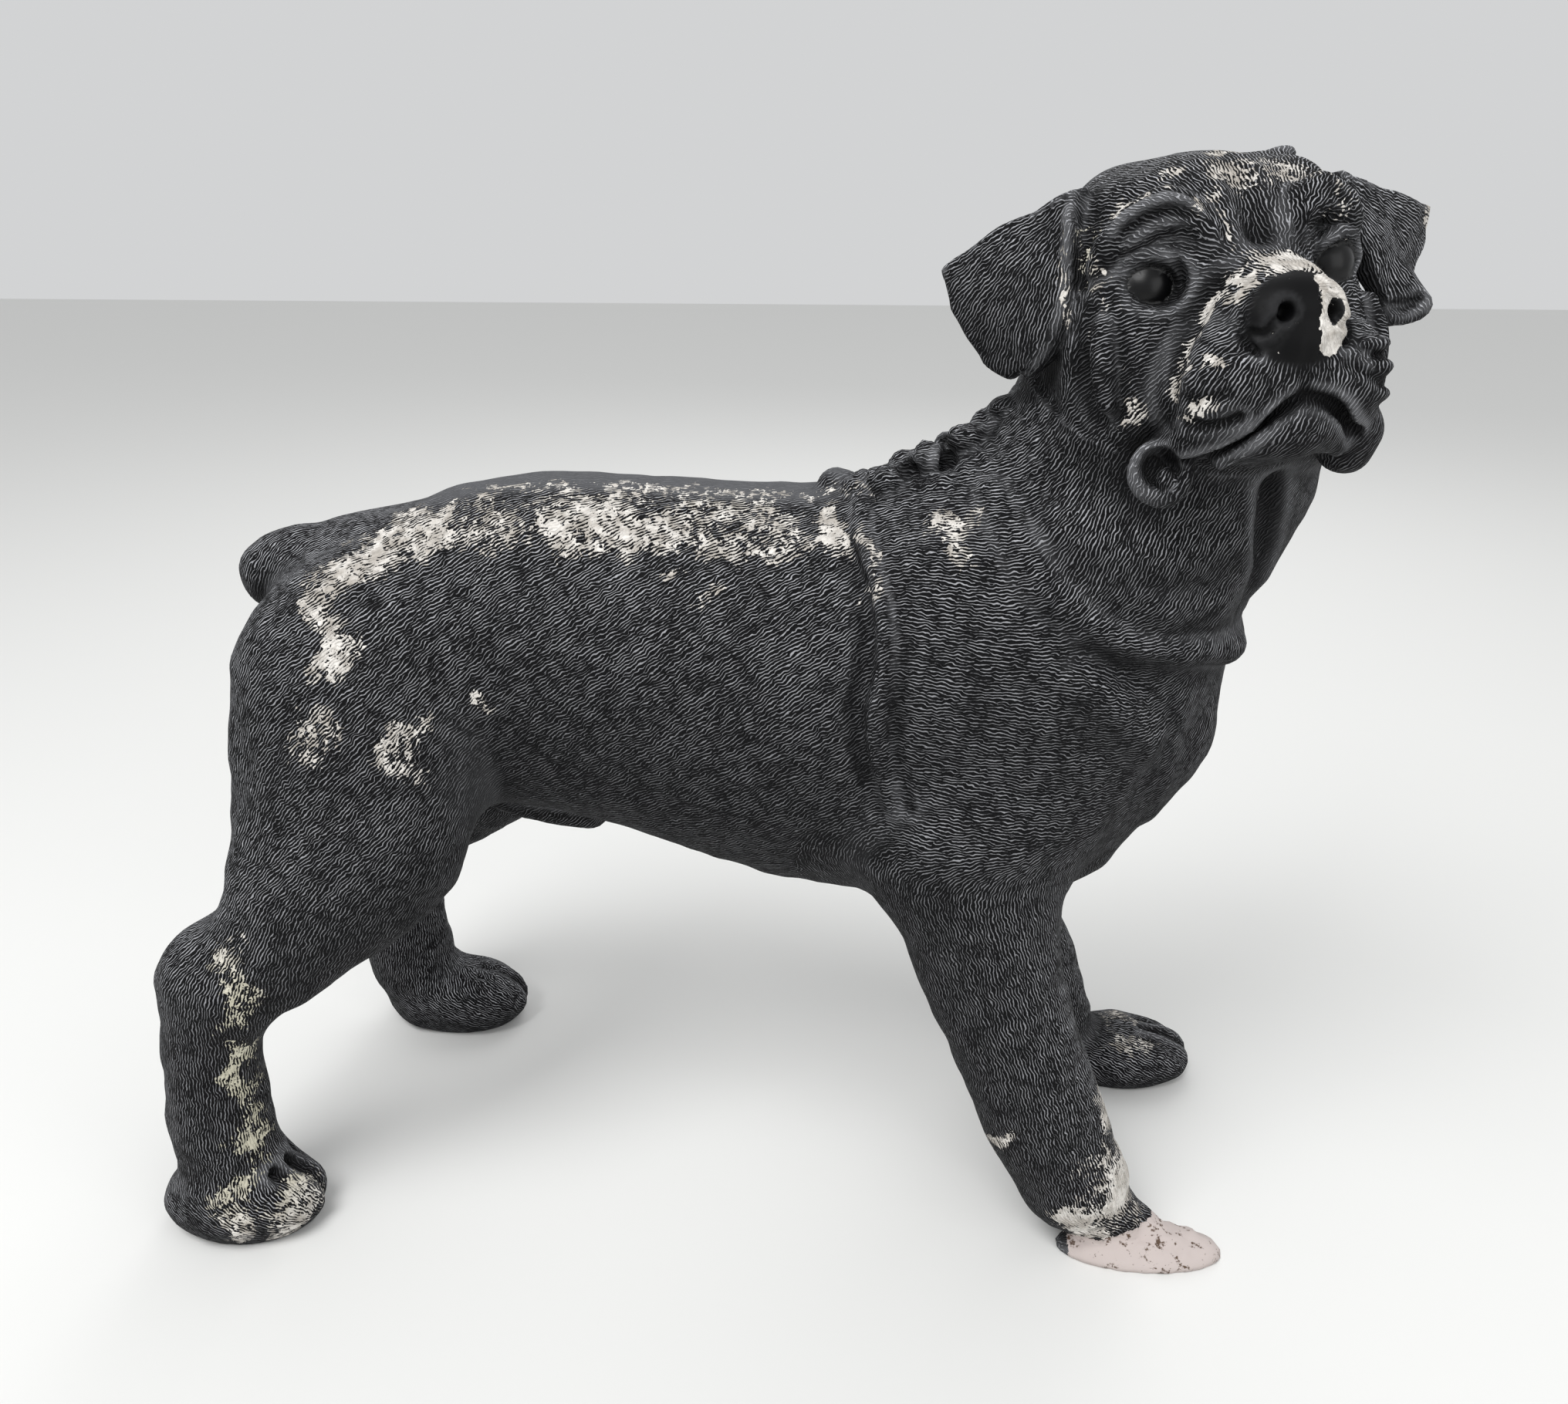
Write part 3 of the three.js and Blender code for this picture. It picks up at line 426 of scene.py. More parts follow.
# %% Brows and their wrinkles
for s, spread in ((1, 0.86), (-1, 1)):
    out = s * spread
    add_head(limb([
        [-14, out * 102, 18, 10], [0, out * 90, 36, 16], [8, out * 70, 46, 18], [16, out * 52, 46, 17],
        [22, out * 36, 30, 11],
    ]), 10)
wrinkle = share(3.4)
for line in (
    [[-4, -108, 40], [8, -92, 58], [18, -70, 66], [27, -48, 60], [34, -30, 44], [35, -24, 24]],
    [[12, -104, 26], [18, -90, 40], [28, -68, 48], [35, -48, 42], [37, -38, 26]],
    [[37, 34, 46], [34, 52, 52], [24, 68, 46]],
    [[32, 28, 44], [35, 30, 28], [34, 33, 12]],
):
    middle = ([*spot, wrinkle] for spot in line[1:-1])
    take_head(limb([[*line[0], wrinkle * 0.6], *middle, [*line[-1], wrinkle * 0.6]]), 5)
print("wrinkle radius in shares:", round(wrinkle, 2))

# %% Lips, mouth and the cups at its corners
lip = share(3.2)
for s in BOTH:
    add_head(limb([
        [72, s * 14, -82, 12], [66, s * 36, -95, 14], [46, s * 60, -110, 16], [26, s * 68, -120, 14],
    ]), 9)
add_head(limb([
    [52, -44, -130, 6], [64, -24, -117, 8], [70, 2, -109, 9], [64, 24, -117, 8], [52, 44, -130, 6],
]), 8)
take_head(limb([
    [28, -72, -130, lip * 0.7], [50, -58, -122, lip * 0.9], [66, -35, -112, lip], [79, -14, -97, lip],
    [84, 4, -91, lip], [79, 26, -98, lip], [65, 44, -112, lip],
    [57, 57, -121, lip * 0.8], [51, 67, -130, lip * 0.6],
]), 5)
add_head(ring([24, -77, -133], -34, 18, 14), 5)
take_head(ball([33, -83, -132], [18, 14, 16]), 3)
add_head(ball([26, -74, -140], [10, 7, 10]), 2)
add_head(ball([30, 66, -118], [26, 23, 25]), 10)
add_head(ball([24, 66, -134], [18, 17, 17]), 8)

# %% Creases of the cheek and the whisker grooves
crease = share(3)
for s in BOTH:
    take_head(limb([
        [44, s * 36, -3, crease * 0.6], [40, s * 50, -20, crease], [44, s * 64, -42, crease * 1.3],
        [49, s * 76, -64, crease * 1.3], [48, s * 82, -84, crease], [36, s * 82, -102, crease * 0.7],
    ]), 12)
    take_head(limb([
        [-13, s * 115, -14, 6], [-15, s * 118, -38, 10], [-17, s * 117, -64, 10], [-12, s * 111, -94, 7],
    ]), 10)
    take_head(limb([
        [10, s * 102, -26, 4], [12, s * 103, -50, 7], [10, s * 103, -70, 7], [4, s * 100, -90, 4],
    ]), 8)
    add_head(limb([[-4, s * 104, -26, 7], [-2, s * 108, -52, 9], [-2, s * 106, -80, 7]]), 8)
    add_head(limb([[-36, s * 112, -40, 8], [-42, s * 116, -70, 10], [-40, s * 108, -106, 8]]), 12)
whisker = share(1.9)
for line in (
    [[61, -75, -60], [74, -67, -60], [81, -52, -55], [83, -38, -52]],
    [[62, -78, -82], [76, -67, -87], [86, -54, -83]],
    [[60, -73, -101], [74, -58, -104], [80, -44, -100]],
    [[90, 27, -50], [86, 48, -62], [77, 68, -76]],
    [[90, 34, -72], [85, 56, -84], [70, 72, -92]],
):
    take_head(limb([[*spot, whisker] for spot in line]), 6)
for at in ([78, 52, -60], [76, 56, -76], [70, 58, -94]):
    add_head(ball(at, [12, 14, 7]), 4)

# %% Nose, set off by a groove round its edge
add_head(ball([72, 0, -30], [23, 37, 23]), 6)
for s in BOTH:
    add_head(ball([76, s * 22, -40], [18, 16, 19]), 5)
add_head(ball([76, 0, -54], [20, 20, 18]), 6)
for s in BOTH:
    take_head(limb([
        [78, s * 6, -4, 2], [76, s * 22, -9, 2.5], [75, s * 36, -22, 2.5], [78, s * 39, -42, 2.5],
        [83, s * 31, -58, 2],
    ]), 4)
for at in ([95, -14, -33], [95, 19, -35]):
    take_head(ball(at, [15, 6, 7]), 2)
for s in BOTH:
    take_head(limb([[94, s * 20, -38, 4], [90, s * 29, -46, 4], [84, s * 36, -44, 3]]), 3)
take_head(limb([[101, 1, -44, 2.5], [98, 0, -60, 4], [93, 0, -72, 4], [86, 1, -88, 3]]), 4)

# %% Eyes with their lids
eye = share(15)
EYES = ((-1, [-8, -71, -1]), (1, [-8, 68, 4]))
for s, (x, y, z) in EYES:
    take_head(ball([x + 26, y, z + 1], [14, 20, 17]), 9)
    add_head(ball([x, y, z], [eye, eye, eye]), 1.5)
    add_head(limb([
        [x + 14, y - s * 27, z - 6, 3], [x + 22, y - s * 15, z + 12, 5], [x + 19, y, z + 20, 6],
        [x + 11, y + s * 15, z + 18, 6], [x + 1, y + s * 26, z + 4, 4],
    ]), 3)
    add_head(limb([
        [x + 14, y - s * 27, z - 8, 3], [x + 16, y - s * 8, z - 21, 4], [x + 8, y + s * 11, z - 21, 4],
        [x + 1, y + s * 26, z - 2, 3],
    ]), 4)

# %% Ears: the right one whole, the left one chipped above and curled below
ear = share(10)
add_head(flap([
    [-42, -98, 82], [-80, -152, 62], [-112, -192, 38], [-110, -188, 6], [-94, -168, -40],
    [-78, -156, -54], [-58, -144, -50], [-42, -126, -30], [-36, -110, 20],
], ear, 10), 9)
add_head(flap([
    [-46, 100, 74], [-97, 208, 48], [-94, 200, 22], [-76, 172, -12], [-42, 170, -34],
    [-38, 140, -44], [-34, 116, -6],
], ear * 0.94, -8), 9)
add_head(limb([
    [-44, -108, 70, 4], [-37, -113, 56, 6], [-33, -117, 38, 6], [-33, -118, 12, 6], [-38, -124, -14, 6],
    [-48, -134, -38, 7], [-62, -144, -50, 6],
]), 5)
take_head(limb([[-34, -101, 76, 8], [-26, -104, 60, 11], [-24, -108, 38, 6], [-24, -111, 8, 3]]), 6)
add_head(limb([[-38, 138, -39, 6], [-40, 152, -39, 7], [-42, 163, -36, 7], [-43, 170, -33, 6]]), 5)
take_head(limb([[-31, 138, -30, 3], [-33, 152, -30, 4], [-35, 163, -26, 3]]), 5)
print("forms in all:", len(steps))

# %% [markdown]
# ## From distances to a mesh
# The figure's distance at a point runs through the forms in order. To find the skin we look at a lattice of
# points and put one mesh point into each cell that the skin passes through, which is called surface nets. The
# lattice is finer round the head, where the carving is small, and only cells near the skin are measured.


# %% Distance to the whole figure
def figure(x, y, z):
    middle = np.array([x.mean(), y.mean(), z.mean()])
    spread = math.sqrt(((x - middle[0]) ** 2 + (y - middle[1]) ** 2 + (z - middle[2]) ** 2).max())
    heads = inside(HEAD, x, y, z)
    head_middle = HEAD[1] @ (middle - HEAD[0])
    d = np.full(x.shape, 1e6, x.dtype)
    for (at, reach, distance), width, on_head, takes in steps:
        gap = np.linalg.norm((head_middle if on_head else middle) - at) - spread - reach - width
        if gap > (-d.min() if takes else d.max()):
            continue
        own = distance(*(heads if on_head else (x, y, z)))
        d = -blend(-d, own, width) if takes else blend(d, own, width)
    return np.maximum(d, -z)


# %% Cutting the work into tiles, so that far forms are left out
def measured(points, tile=60.0):
    where = np.floor(points / tile).astype(np.int64)
    key = (where[:, 0] * 4096 + where[:, 1]) * 4096 + where[:, 2]
    order = np.argsort(key, kind="stable")
    edges = np.flatnonzero(np.diff(key[order])) + 1
    result = np.empty(len(points), np.float32)
    for part in np.split(order, edges):
        x, y, z = points[part].T.astype(np.float32)
        result[part] = figure(x, y, z)
    return result


def lattice_line(low, high, coarse, fine, fine_from, fine_to):
    line = [low]
    while line[-1] < high:
        line.append(line[-1] + (fine if fine_from < line[-1] < fine_to else coarse))
    spare = (-(len(line) - 1)) % BLOCK
    return np.array(line + [line[-1] + coarse * (n + 1) for n in range(spare)])


BLOCK = 4
COARSE, FINE = 4.4, 2.5
lines = [
    lattice_line(-600, 590, COARSE, FINE, 250, 590),
    lattice_line(-300, 260, COARSE, FINE, -300, 120),
    lattice_line(-COARSE * 1.5, 1030, COARSE, FINE, 735, 1030),
]
print("lattice:", [len(line) for line in lines])


# %% Measuring only near the skin
def blown_up(blocks):
    return blocks.repeat(BLOCK, 0).repeat(BLOCK, 1).repeat(BLOCK, 2)


def lattice_values(lines):
    starts = [line[:-1:BLOCK] for line in lines]
    sizes = [line[BLOCK::BLOCK] - start for line, start in zip(lines, starts)]
    centres = [start + size / 2 for start, size in zip(starts, sizes)]
    grid = np.stack(np.meshgrid(*centres, indexing="ij"), -1).reshape(-1, 3)
    halves = np.stack(np.meshgrid(*sizes, indexing="ij"), -1).reshape(-1, 3) / 2
    reach = np.linalg.norm(halves, axis=1) * 1.25
    near = measured(grid, 120.0)
    shape = [len(centre) for centre in centres]
    full = tuple(len(line) for line in lines)
    values = np.full(full, 1e3, np.float32)
    solid = blown_up((near < 0).reshape(shape))
    values[:-1, :-1, :-1][solid] = -1e3
    close = blown_up((np.abs(near) < reach).reshape(shape))
    wanted = np.zeros(full, bool)
    for a in (0, 1):
        for b in (0, 1):
            for c in (0, 1):
                span = tuple(slice(s, n - 1 + s) for s, n in zip((a, b, c), full))
                wanted[span] |= close
    where = np.nonzero(wanted)
    points = np.stack([line[n] for line, n in zip(lines, where)], -1)
    values[where] = measured(points)
    return values


values = lattice_values(lines)
print("measured lattice:", values.shape)


# %% Surface nets
CORNERS = [(a, b, c) for a in (0, 1) for b in (0, 1) for c in (0, 1)]


def skin(values, lines):
    full = values.shape
    below = values < 0
    count = np.zeros([n - 1 for n in full], np.int8)
    for corner in CORNERS:
        count += below[tuple(slice(s, n - 1 + s) for s, n in zip(corner, full))]
    cells = np.nonzero((count > 0) & (count < 8))
    at = {corner: values[tuple(c + s for c, s in zip(cells, corner))] for corner in CORNERS}
    total = np.zeros((len(cells[0]), 3))
    crossed = np.zeros(len(cells[0]))
    for a in CORNERS:
        for axis in range(3):
            if a[axis]:
                continue
            b = tuple(1 if n == axis else v for n, v in enumerate(a))
            hit = (at[a] < 0) != (at[b] < 0)
            t = np.where(hit, at[a] / np.where(hit, at[a] - at[b], 1), 0)
            for n in range(3):
                total[:, n] += np.where(hit, t if n == axis else a[n], 0)
            crossed += hit
    offset = total / crossed[:, None]
    points = np.empty_like(total)
    for n in range(3):
        low = lines[n][cells[n]]
        points[:, n] = low + offset[:, n] * (lines[n][cells[n] + 1] - low)
    number = np.full(count.shape, -1, np.int64)
    number[cells] = np.arange(len(points))
    quads = []
    for axis in range(3):
        one, two = [n for n in range(3) if n != axis]
        low = [slice(1, -1)] * 3
        high = list(low)
        low[axis], high[axis] = slice(0, -1), slice(1, None)
        start, end = below[tuple(low)], below[tuple(high)]
        hit = np.nonzero(start != end)
        spot = [h + (0 if n == axis else 1) for n, h in enumerate(hit)]
        ring_of = []
        for step_one, step_two in ((1, 1), (0, 1), (0, 0), (1, 0)):
            cell = list(spot)
            cell[one] = cell[one] - step_one
            cell[two] = cell[two] - step_two
            ring_of.append(number[tuple(cell)])
        quad = np.stack(ring_of, -1)
        flip = start[hit] ^ (axis == 1)
        quad[~flip] = quad[~flip][:, ::-1]
        quads.append(quad)
    quads = np.concatenate(quads)
    return points, quads[(quads >= 0).all(1)]


points, quads = skin(values, lines)
print("skin points:", len(points), "quads:", len(quads))


# %% [markdown]
# ## The mesh, thinned where it is plain
# The lattice gives about half a million triangles. A Decimate modifier brings that under 200,000, and a vertex
# group makes it spend them on the head. Afterwards each point is moved back onto the exact skin.

# %% A Blender mesh from the skin
low, high = points.min(0), points.max(0)
centre = np.array([(low[0] + high[0]) / 2, (low[1] + high[1]) / 2, 0])


def to_metres(spots):
    return (np.asarray(spots, float) - centre) * SHARE


def to_shares(spots):
    return spots / SHARE + centre


mesh = bpy.data.meshes.new("dog_cast")
mesh.from_pydata(to_metres(points).tolist(), [], quads.tolist())
dog = bpy.data.objects.new("dog_cast", mesh)
bpy.context.scene.collection.objects.link(dog)
heads = np.stack(inside(HEAD, *points.T), -1)
face_near = np.clip(1.25 - np.linalg.norm((heads - [20, 0, -40]) / [90, 120, 130], axis=1) * 0.5, 0, 1)
head_near = np.clip(1.2 - np.linalg.norm((heads - [-40, 0, 0]) / [170, 230, 170], axis=1) * 0.45, 0, 1)
care = np.maximum(0.35 + 0.65 * face_near, 0.35 + 0.45 * head_near)
group = dog.vertex_groups.new(name="plain")
for level in range(11):
    members = np.flatnonzero(np.round((1 - care) * 10) == level)
    group.add(members.tolist(), level / 10, "REPLACE")
print("mesh made:", len(mesh.vertices))

# %% Thin it
TRIANGLES = 190_000
thin = dog.modifiers.new("thin", "DECIMATE")
thin.ratio = TRIANGLES / (2 * len(quads))
thin.vertex_group = group.name
thin.vertex_group_factor = 1.0
thin.use_collapse_triangulate = True
thinned = bpy.data.meshes.new_from_object(dog.evaluated_get(bpy.context.evaluated_depsgraph_get()))
dog.modifiers.clear()
dog.vertex_groups.clear()
dog.data = thinned
thinned.name = "dog_cast"
print("triangles:", len(thinned.polygons))


# %% Settle each point on the skin and measure the hollows
def read_points(mesh):
    flat = np.empty(len(mesh.vertices) * 3, np.float32)
    mesh.vertices.foreach_get("co", flat)
    return flat.reshape(-1, 3).astype(float)


def slopes(spots, step=1.0):
    return np.stack([
        measured(spots + step * axis) - measured(spots - step * axis) for axis in np.eye(3)
    ], -1) / (2 * step)


spots = to_shares(read_points(thinned))
off_ground = spots[:, 2] > 1.5
slope = slopes(spots)
length = np.linalg.norm(slope, axis=1, keepdims=True)
normals = slope / np.maximum(length, 1e-3)
move = np.clip(measured(spots)[:, None] / np.maximum(length, 0.5), -1.5, 1.5)
spots = np.where(off_ground[:, None], spots - normals * move, spots)
hollow = 1 - measured(spots + normals * 9) / 9
wide_hollow = 1 - measured(spots + normals * 26) / 26
proud = 1 + measured(spots - normals * 7) / 7
thinned.vertices.foreach_set("co", to_metres(spots).astype(np.float32).ravel())
thinned.update()
print("settled; mean hollow:", hollow.mean().round(3))

# %% [markdown]
# ## Which way the fur lies
# The maker combed short wavy strokes into the wet surface. On the trunk they fall gently towards the tail, on
# the legs they run down the leg, on the head back from the nose. We store one direction for each point of the
# mesh, the one that lies in the skin and points across the strokes, and the material draws its strokes from it.


# %% Regions with soft borders
def ramp(value, start, end):
    t = np.clip((value - start) / (end - start), 0, 1)
    return t * t * (3 - 2 * t)


def distance_to(places, at, radii):
    return np.linalg.norm((places - at) / np.array(radii, float), axis=1)


X, Y, Z = spots.T
heads = np.stack(inside(HEAD, X, Y, Z), -1)
in_head = 1 - ramp(distance_to(heads, [-25, 0, -10], [125, 150, 135]), 0.95, 1.15)
in_ear = ramp(np.abs(heads[:, 1]) - 100 - 0.2 * np.abs(heads[:, 2] - 20), 0, 12)
in_ear *= ramp(heads[:, 0], 10, -22) * (np.abs(heads[:, 2] - 20) < 95) * (np.linalg.norm(heads, axis=1) < 260)


def lay_to(away, down):
    return np.array([away, 0, down]) / math.hypot(away, down)


# %% One direction for each point
lay = np.tile(lay_to(-1, -0.72), (len(spots), 1))
slope_back = ramp(-X, 180, 330)[:, None]
lay += (lay_to(-1, -0.95) - lay) * slope_back
for weight, direction in (
    (ramp(-X, 385, 430) * (Z > 420), lay_to(-0.35, -1)),
    (ramp(X, 110, 160), lay_to(-1, 0.12)),
    (ramp(-Z, -430, -330) * (X < 0), lay_to(-0.5, -1)),
    (ramp(-Z, -330, -240) * (X < 0), lay_to(-0.1, -1)),
    (ramp(-Z, -480, -380) * (X > 60), lay_to(0.35, -1)),
    (ramp(X, 200, 300) * ramp(Z, 610, 700), lay_to(-0.35, -1)),
    (ramp(X, 330, 420) * ramp(Z, 380, 520), lay_to(-0.6, -1)),
    (ramp(-Z, -70, -45), lay_to(1, -0.6)),
):
    lay += (direction - lay) * weight[:, None]
from_nose = heads - [110, 0, -10]
from_nose[:, 2] -= ramp(heads[:, 0], 10, -60) * 60
from_nose /= np.linalg.norm(from_nose, axis=1, keepdims=True)
lay += (from_nose @ HEAD[1] - lay) * in_head[:, None]
from_root = heads - np.stack([np.full_like(X, -40), np.sign(heads[:, 1]) * 96, np.full_like(X, 80)], -1)
from_root /= np.linalg.norm(from_root, axis=1, keepdims=True)
lay += (from_root @ HEAD[1] - lay) * in_ear[:, None]
across = np.cross(normals, lay)
across /= np.maximum(np.linalg.norm(across, axis=1, keepdims=True), 1e-6)
print("fur directions set for", len(across), "points")

# %% [markdown]
# ## Where the paint has worn
# Weather lifts paint where it stands proud and where water lies: along the back, on the forehead and muzzle,
# down the hind foot. Each patch has a place, a size and a share of bare cement: 0.5 gives a speckle of half
# paint and half cement, 1.2 or more a solid patch, and below zero a few flecks. Places are bent a little
# before they are compared, so no patch is a plain oval, and the material breaks its edge up further.

# %% Patches of bare cement
PAINTED = -0.90
PATCH_END, EDGE_FALL = 1.5, 1.8
BODY_PATCHES = (
    ("croup", [-276, -56, 698], [52, 44, 18], 0.66),
    ("rump", [-318, -76, 670], [42, 44, 26], 0.80),
    ("haunch", [-342, -98, 638], [24, 44, 26], 0.66),
    ("haunch low", [-334, -122, 610], [24, 44, 26], 0.60),
    ("back thin", [-205, -62, 702], [60, 44, 18], 0.34),
    ("back", [-110, -62, 704], [74, 44, 24], 0.64),
    ("loin", [0, -70, 702], [100, 44, 24], 0.46),
    ("shoulder top", [90, -78, 704], [18, 40, 28], 0.66),
    ("spine edge", [-60, -26, 726], [210, 26, 12], 0.34),
    ("thigh", [-278, -140, 530], [20, 50, 36], 0.52),
    ("thigh back", [-350, -150, 540], [26, 50, 34], 0.42),
    ("thigh front", [-219, -120, 550], [12, 50, 10], 0.42),
    ("flank one", [-52, -98, 670], [16, 50, 7], 0.60),
    ("flank two", [-13, -106, 649], [14, 50, 10], 0.42),
    ("shoulder", [188, -105, 714], [22, 60, 18], 0.48),
    ("ridge", [118, -96, 692], [7, 50, 34], 0.52),
    ("hock", [-446, -184, 300], [20, 60, 46], 0.45),
    ("shank", [-466, -190, 190], [14, 60, 60], 0.60),
    ("pastern", [-462, -204, 110], [22, 60, 44], 0.70),
    ("hind foot", [-482, -204, 50], [22, 60, 40], 0.50),
    ("hind toes", [-436, -196, 34], [26, 60, 30], 0.50),
    ("foreleg back", [256, -150, 130], [10, 40, 22], 0.90),
    ("paw slope", [372, -140, 84], [46, 60, 58], 1.50),
    ("shin edge", [352, -130, 150], [14, 40, 50], 0.80),
    ("paw edge", [340, -164, 46], [30, 40, 34], 0.80),
    ("far forepaw", [440, 120, 50], [30, 50, 16], 0.35),
    ("left back", [-120, 62, 704], [90, 40, 20], 0.50),
    ("left croup", [-290, 66, 690], [46, 40, 24], 0.60),
    ("left thigh", [-300, 150, 540], [24, 50, 34], 0.45),
)
HEAD_PATCHES = (
    ("muzzle bridge", [62, 4, 0], [34, 27, 17], 1.90),
    ("bridge near", [58, -24, -10], [20, 16, 14], 1.80),
    ("bridge near edge", [66, -36, -20], [14, 10, 10], 1.70),
    ("bridge far side", [66, 32, -12], [24, 14, 14], 1.80),
    ("muzzle side high", [44, -44, -22], [12, 12, 13], 0.80),
    ("muzzle side", [46, -60, -46], [12, 8, 14], 0.75),
    ("muzzle trail", [50, -72, -68], [12, 8, 20], 0.55),
    ("lip corner", [14, -96, -90], [14, 16, 13], 0.75),
    ("muzzle fleck", [76, -58, -62], [9, 8, 7], 0.70),
    ("lip fleck", [66, -66, -92], [14, 14, 9], 0.42),
    ("stop", [33, -24, 40], [12, 4, 26], 0.80),
    ("forehead", [22, -26, 68], [16, 9, 20], 0.66),
    ("forehead near", [-2, -48, 80], [34, 16, 7], 0.60),
    ("brow one", [8, -70, 68], [14, 18, 8], 0.46),
    ("brow two", [-6, -92, 58], [14, 16, 9], 0.50),
    ("brow inner", [30, -42, 50], [10, 8, 12], 0.46),
    ("forehead middle", [8, 0, 80], [34, 26, 24], 0.52),
    ("forehead top", [-24, 12, 96], [20, 26, 8], 0.95),
    ("forehead far", [-4, 46, 78], [30, 30, 22], 0.48),
    ("near ear root", [-22, -104, 40], [13, 10, 46], 0.40),
    ("temple", [-8, -104, 8], [10, 10, 24], 0.45),
    ("ear rim", [-34, -122, 10], [9, 7, 40], 0.32),
    ("far ear root", [-14, 86, 56], [24, 10, 44], 0.66),
    ("far brow", [18, 64, 44], [10, 18, 14], 0.30),
    ("cheek flecks", [0, -98, -56], [16, 20, 40], -0.30),
    ("far lid inner", [-4, 54, 13], [11, 8, 7], 1.30),
    ("far lid", [0, 62, 20], [12, 10, 5], 1.20),
    ("far lid outer", [3, 71, 19], [10, 8, 4], 0.80),
    ("far ear tip", [-92, 206, 38], [14, 14, 18], 1.10),
)


def strayed(places, reach):
    wide = reach * np.sin(np.roll(places, 1, 1) / (1.3 * reach) + 2)
    narrow = 0.5 * reach * np.sin(np.roll(places, 2, 1) / (0.6 * reach))
    return places + wide + narrow


def wear(start, places, patches):
    for name, at, radii, share_bare in patches:
        rise = PAINTED + EDGE_FALL * (PATCH_END - distance_to(places, at, radii))
        start = np.maximum(start, np.minimum(rise, share_bare))
    return start


white = wear(np.full(len(spots), PAINTED), strayed(spots, 8), BODY_PATCHES)
white = wear(white, strayed(heads, 3), HEAD_PATCHES)
white -= 0.3 * np.clip(hollow - 0.3, 0, 1)
print("patches:", len(BODY_PATCHES) + len(HEAD_PATCHES))

# %% Eyes, nose, broken paw and the smooth places
ON_EYE, ON_NOSE = 0.4, 0.5
eyes = np.maximum.reduce([ramp(distance_to(heads, at, [eye + 1] * 3), 1.07, 0.99) for s, at in EYES])
nose = ramp(distance_to(heads, [84, 0, -38], [24, 39, 34]), 1.05, 0.9) * ramp(heads[:, 0], 68, 75)
white = np.where((eyes > ON_EYE) | (nose > ON_NOSE), PAINTED, white)
from_rim = np.abs(distance_to(heads, [95, 21, -36], [28, 13, 19]) - 1.05)
nostril_rim = ramp(from_rim, 0.60, 0.45) * (heads[:, 1] > 9)
white = np.where(nose > ON_NOSE, np.maximum(white, 1.7 * nostril_rim * nose - 0.2), white)
nose *= ramp(white, 0.9, 0.5)
yellow = 0.8 * ramp(-X, 400, 440) * ramp(-Z, -360, -280) * (Y < 0) * ramp(Z, 20, 90)
yellow = np.maximum(yellow, 0.5 * ramp(distance_to(heads, [-26, -106, 48], [20, 16, 50]), 1.3, 0.8))
broken = ramp(distance_to(spots, [408, -145, 4], [96, 42, 30]), 1.05, 0.92) * ramp(X, 325, 340)
spine = ramp(np.abs(Y), 40, 24) * ramp(Z, 700, 716) * (X < 100)
smooth = np.maximum.reduce([eyes, nose, broken, 0.35 * spine])
rough = np.maximum(broken, ramp(distance_to(spots, [165, -20, 755], [95, 45, 60]), 1.1, 0.8))
# Eyes and nose are black in their own right; creases and hollows get painted shade.
black_and_crease_shade = np.maximum.reduce([eyes, 0.85 * nose, ramp(hollow, 0.12, 0.65) * 0.75])
# Painted light from above: faces turned up are brushed lighter, faces turned down darker.
top_light = ramp(normals[:, 2], -0.45, 0.70)
# Painted reflection: the smooth strip along the spine is greyed where it faces up, as a sheen of the sky.
spine_sheen = 0.7 * spine * ramp(normals[:, 2], 0.55, 0.98)
print("points on the eyes:", int((eyes > 0.5).sum()), "and on the nose:", int((nose > 0.5).sum()))


# %% Store what the material needs
def store(name, values, kind="FLOAT", key="value"):
    layer = thinned.attributes.new(name, kind, "POINT")
    layer.data.foreach_set(key, np.ascontiguousarray(values, np.float32).ravel())


store("across", across, "FLOAT_VECTOR", "vector")
for name, values in (
    ("white", white), ("yellow", yellow), ("broken", broken), ("furred", 1 - smooth), ("eyes", eyes),
    ("nose", nose), ("black_and_crease_shade", black_and_crease_shade), ("rough", rough), ("proud", ramp(proud, 0.12, 0.5)),
    # The next three are painted light: shade in broad hollows, light on faces turned up, a sheen on the spine.
    ("hollow_shade", ramp(wide_hollow, 0.05, 0.6)), ("top_light", top_light), ("spine_sheen", spine_sheen),
):
    store(name, values)
print("stored:", [layer.name for layer in thinned.attributes])

# %% [markdown]
# ## Painted cast stone
# The material is cement with a coat of matt black masonry paint, brushed with grey so that the tops of the fur
# strokes catch the eye. A Gabor texture draws short waves that all run one way, which is what combed strokes
# are. Its direction comes from the mesh. The real strokes lie 2.7 mm apart and are about 10 mm long; the wave
# spreads to about one and a half times the pitch it is given, so it is given less. The texture's value fades
# away in places while its phase keeps its full contrast, so the strokes mix both. All sizes are in metres.


# %% Colours and the node helper
def linear(hex_colour):
    parts = [int(hex_colour[n:n + 2], 16) / 255 for n in (1, 3, 5)]
    return [*(p / 12.92 if p <= 0.04045 else ((p + 0.055) / 1.055) ** 2.4 for p in parts), 1.0]


def node(tree, kind, settings, inputs, out=0):
    made = tree.nodes.new(kind)
    for name, value in settings.items():
        setattr(made, name, value)
    for socket, value in inputs.items():
        if isinstance(value, bpy.types.NodeSocket):
            tree.links.new(value, made.inputs[socket])
        else:
            made.inputs[socket].default_value = value
    return made if out is None else made.outputs[out]


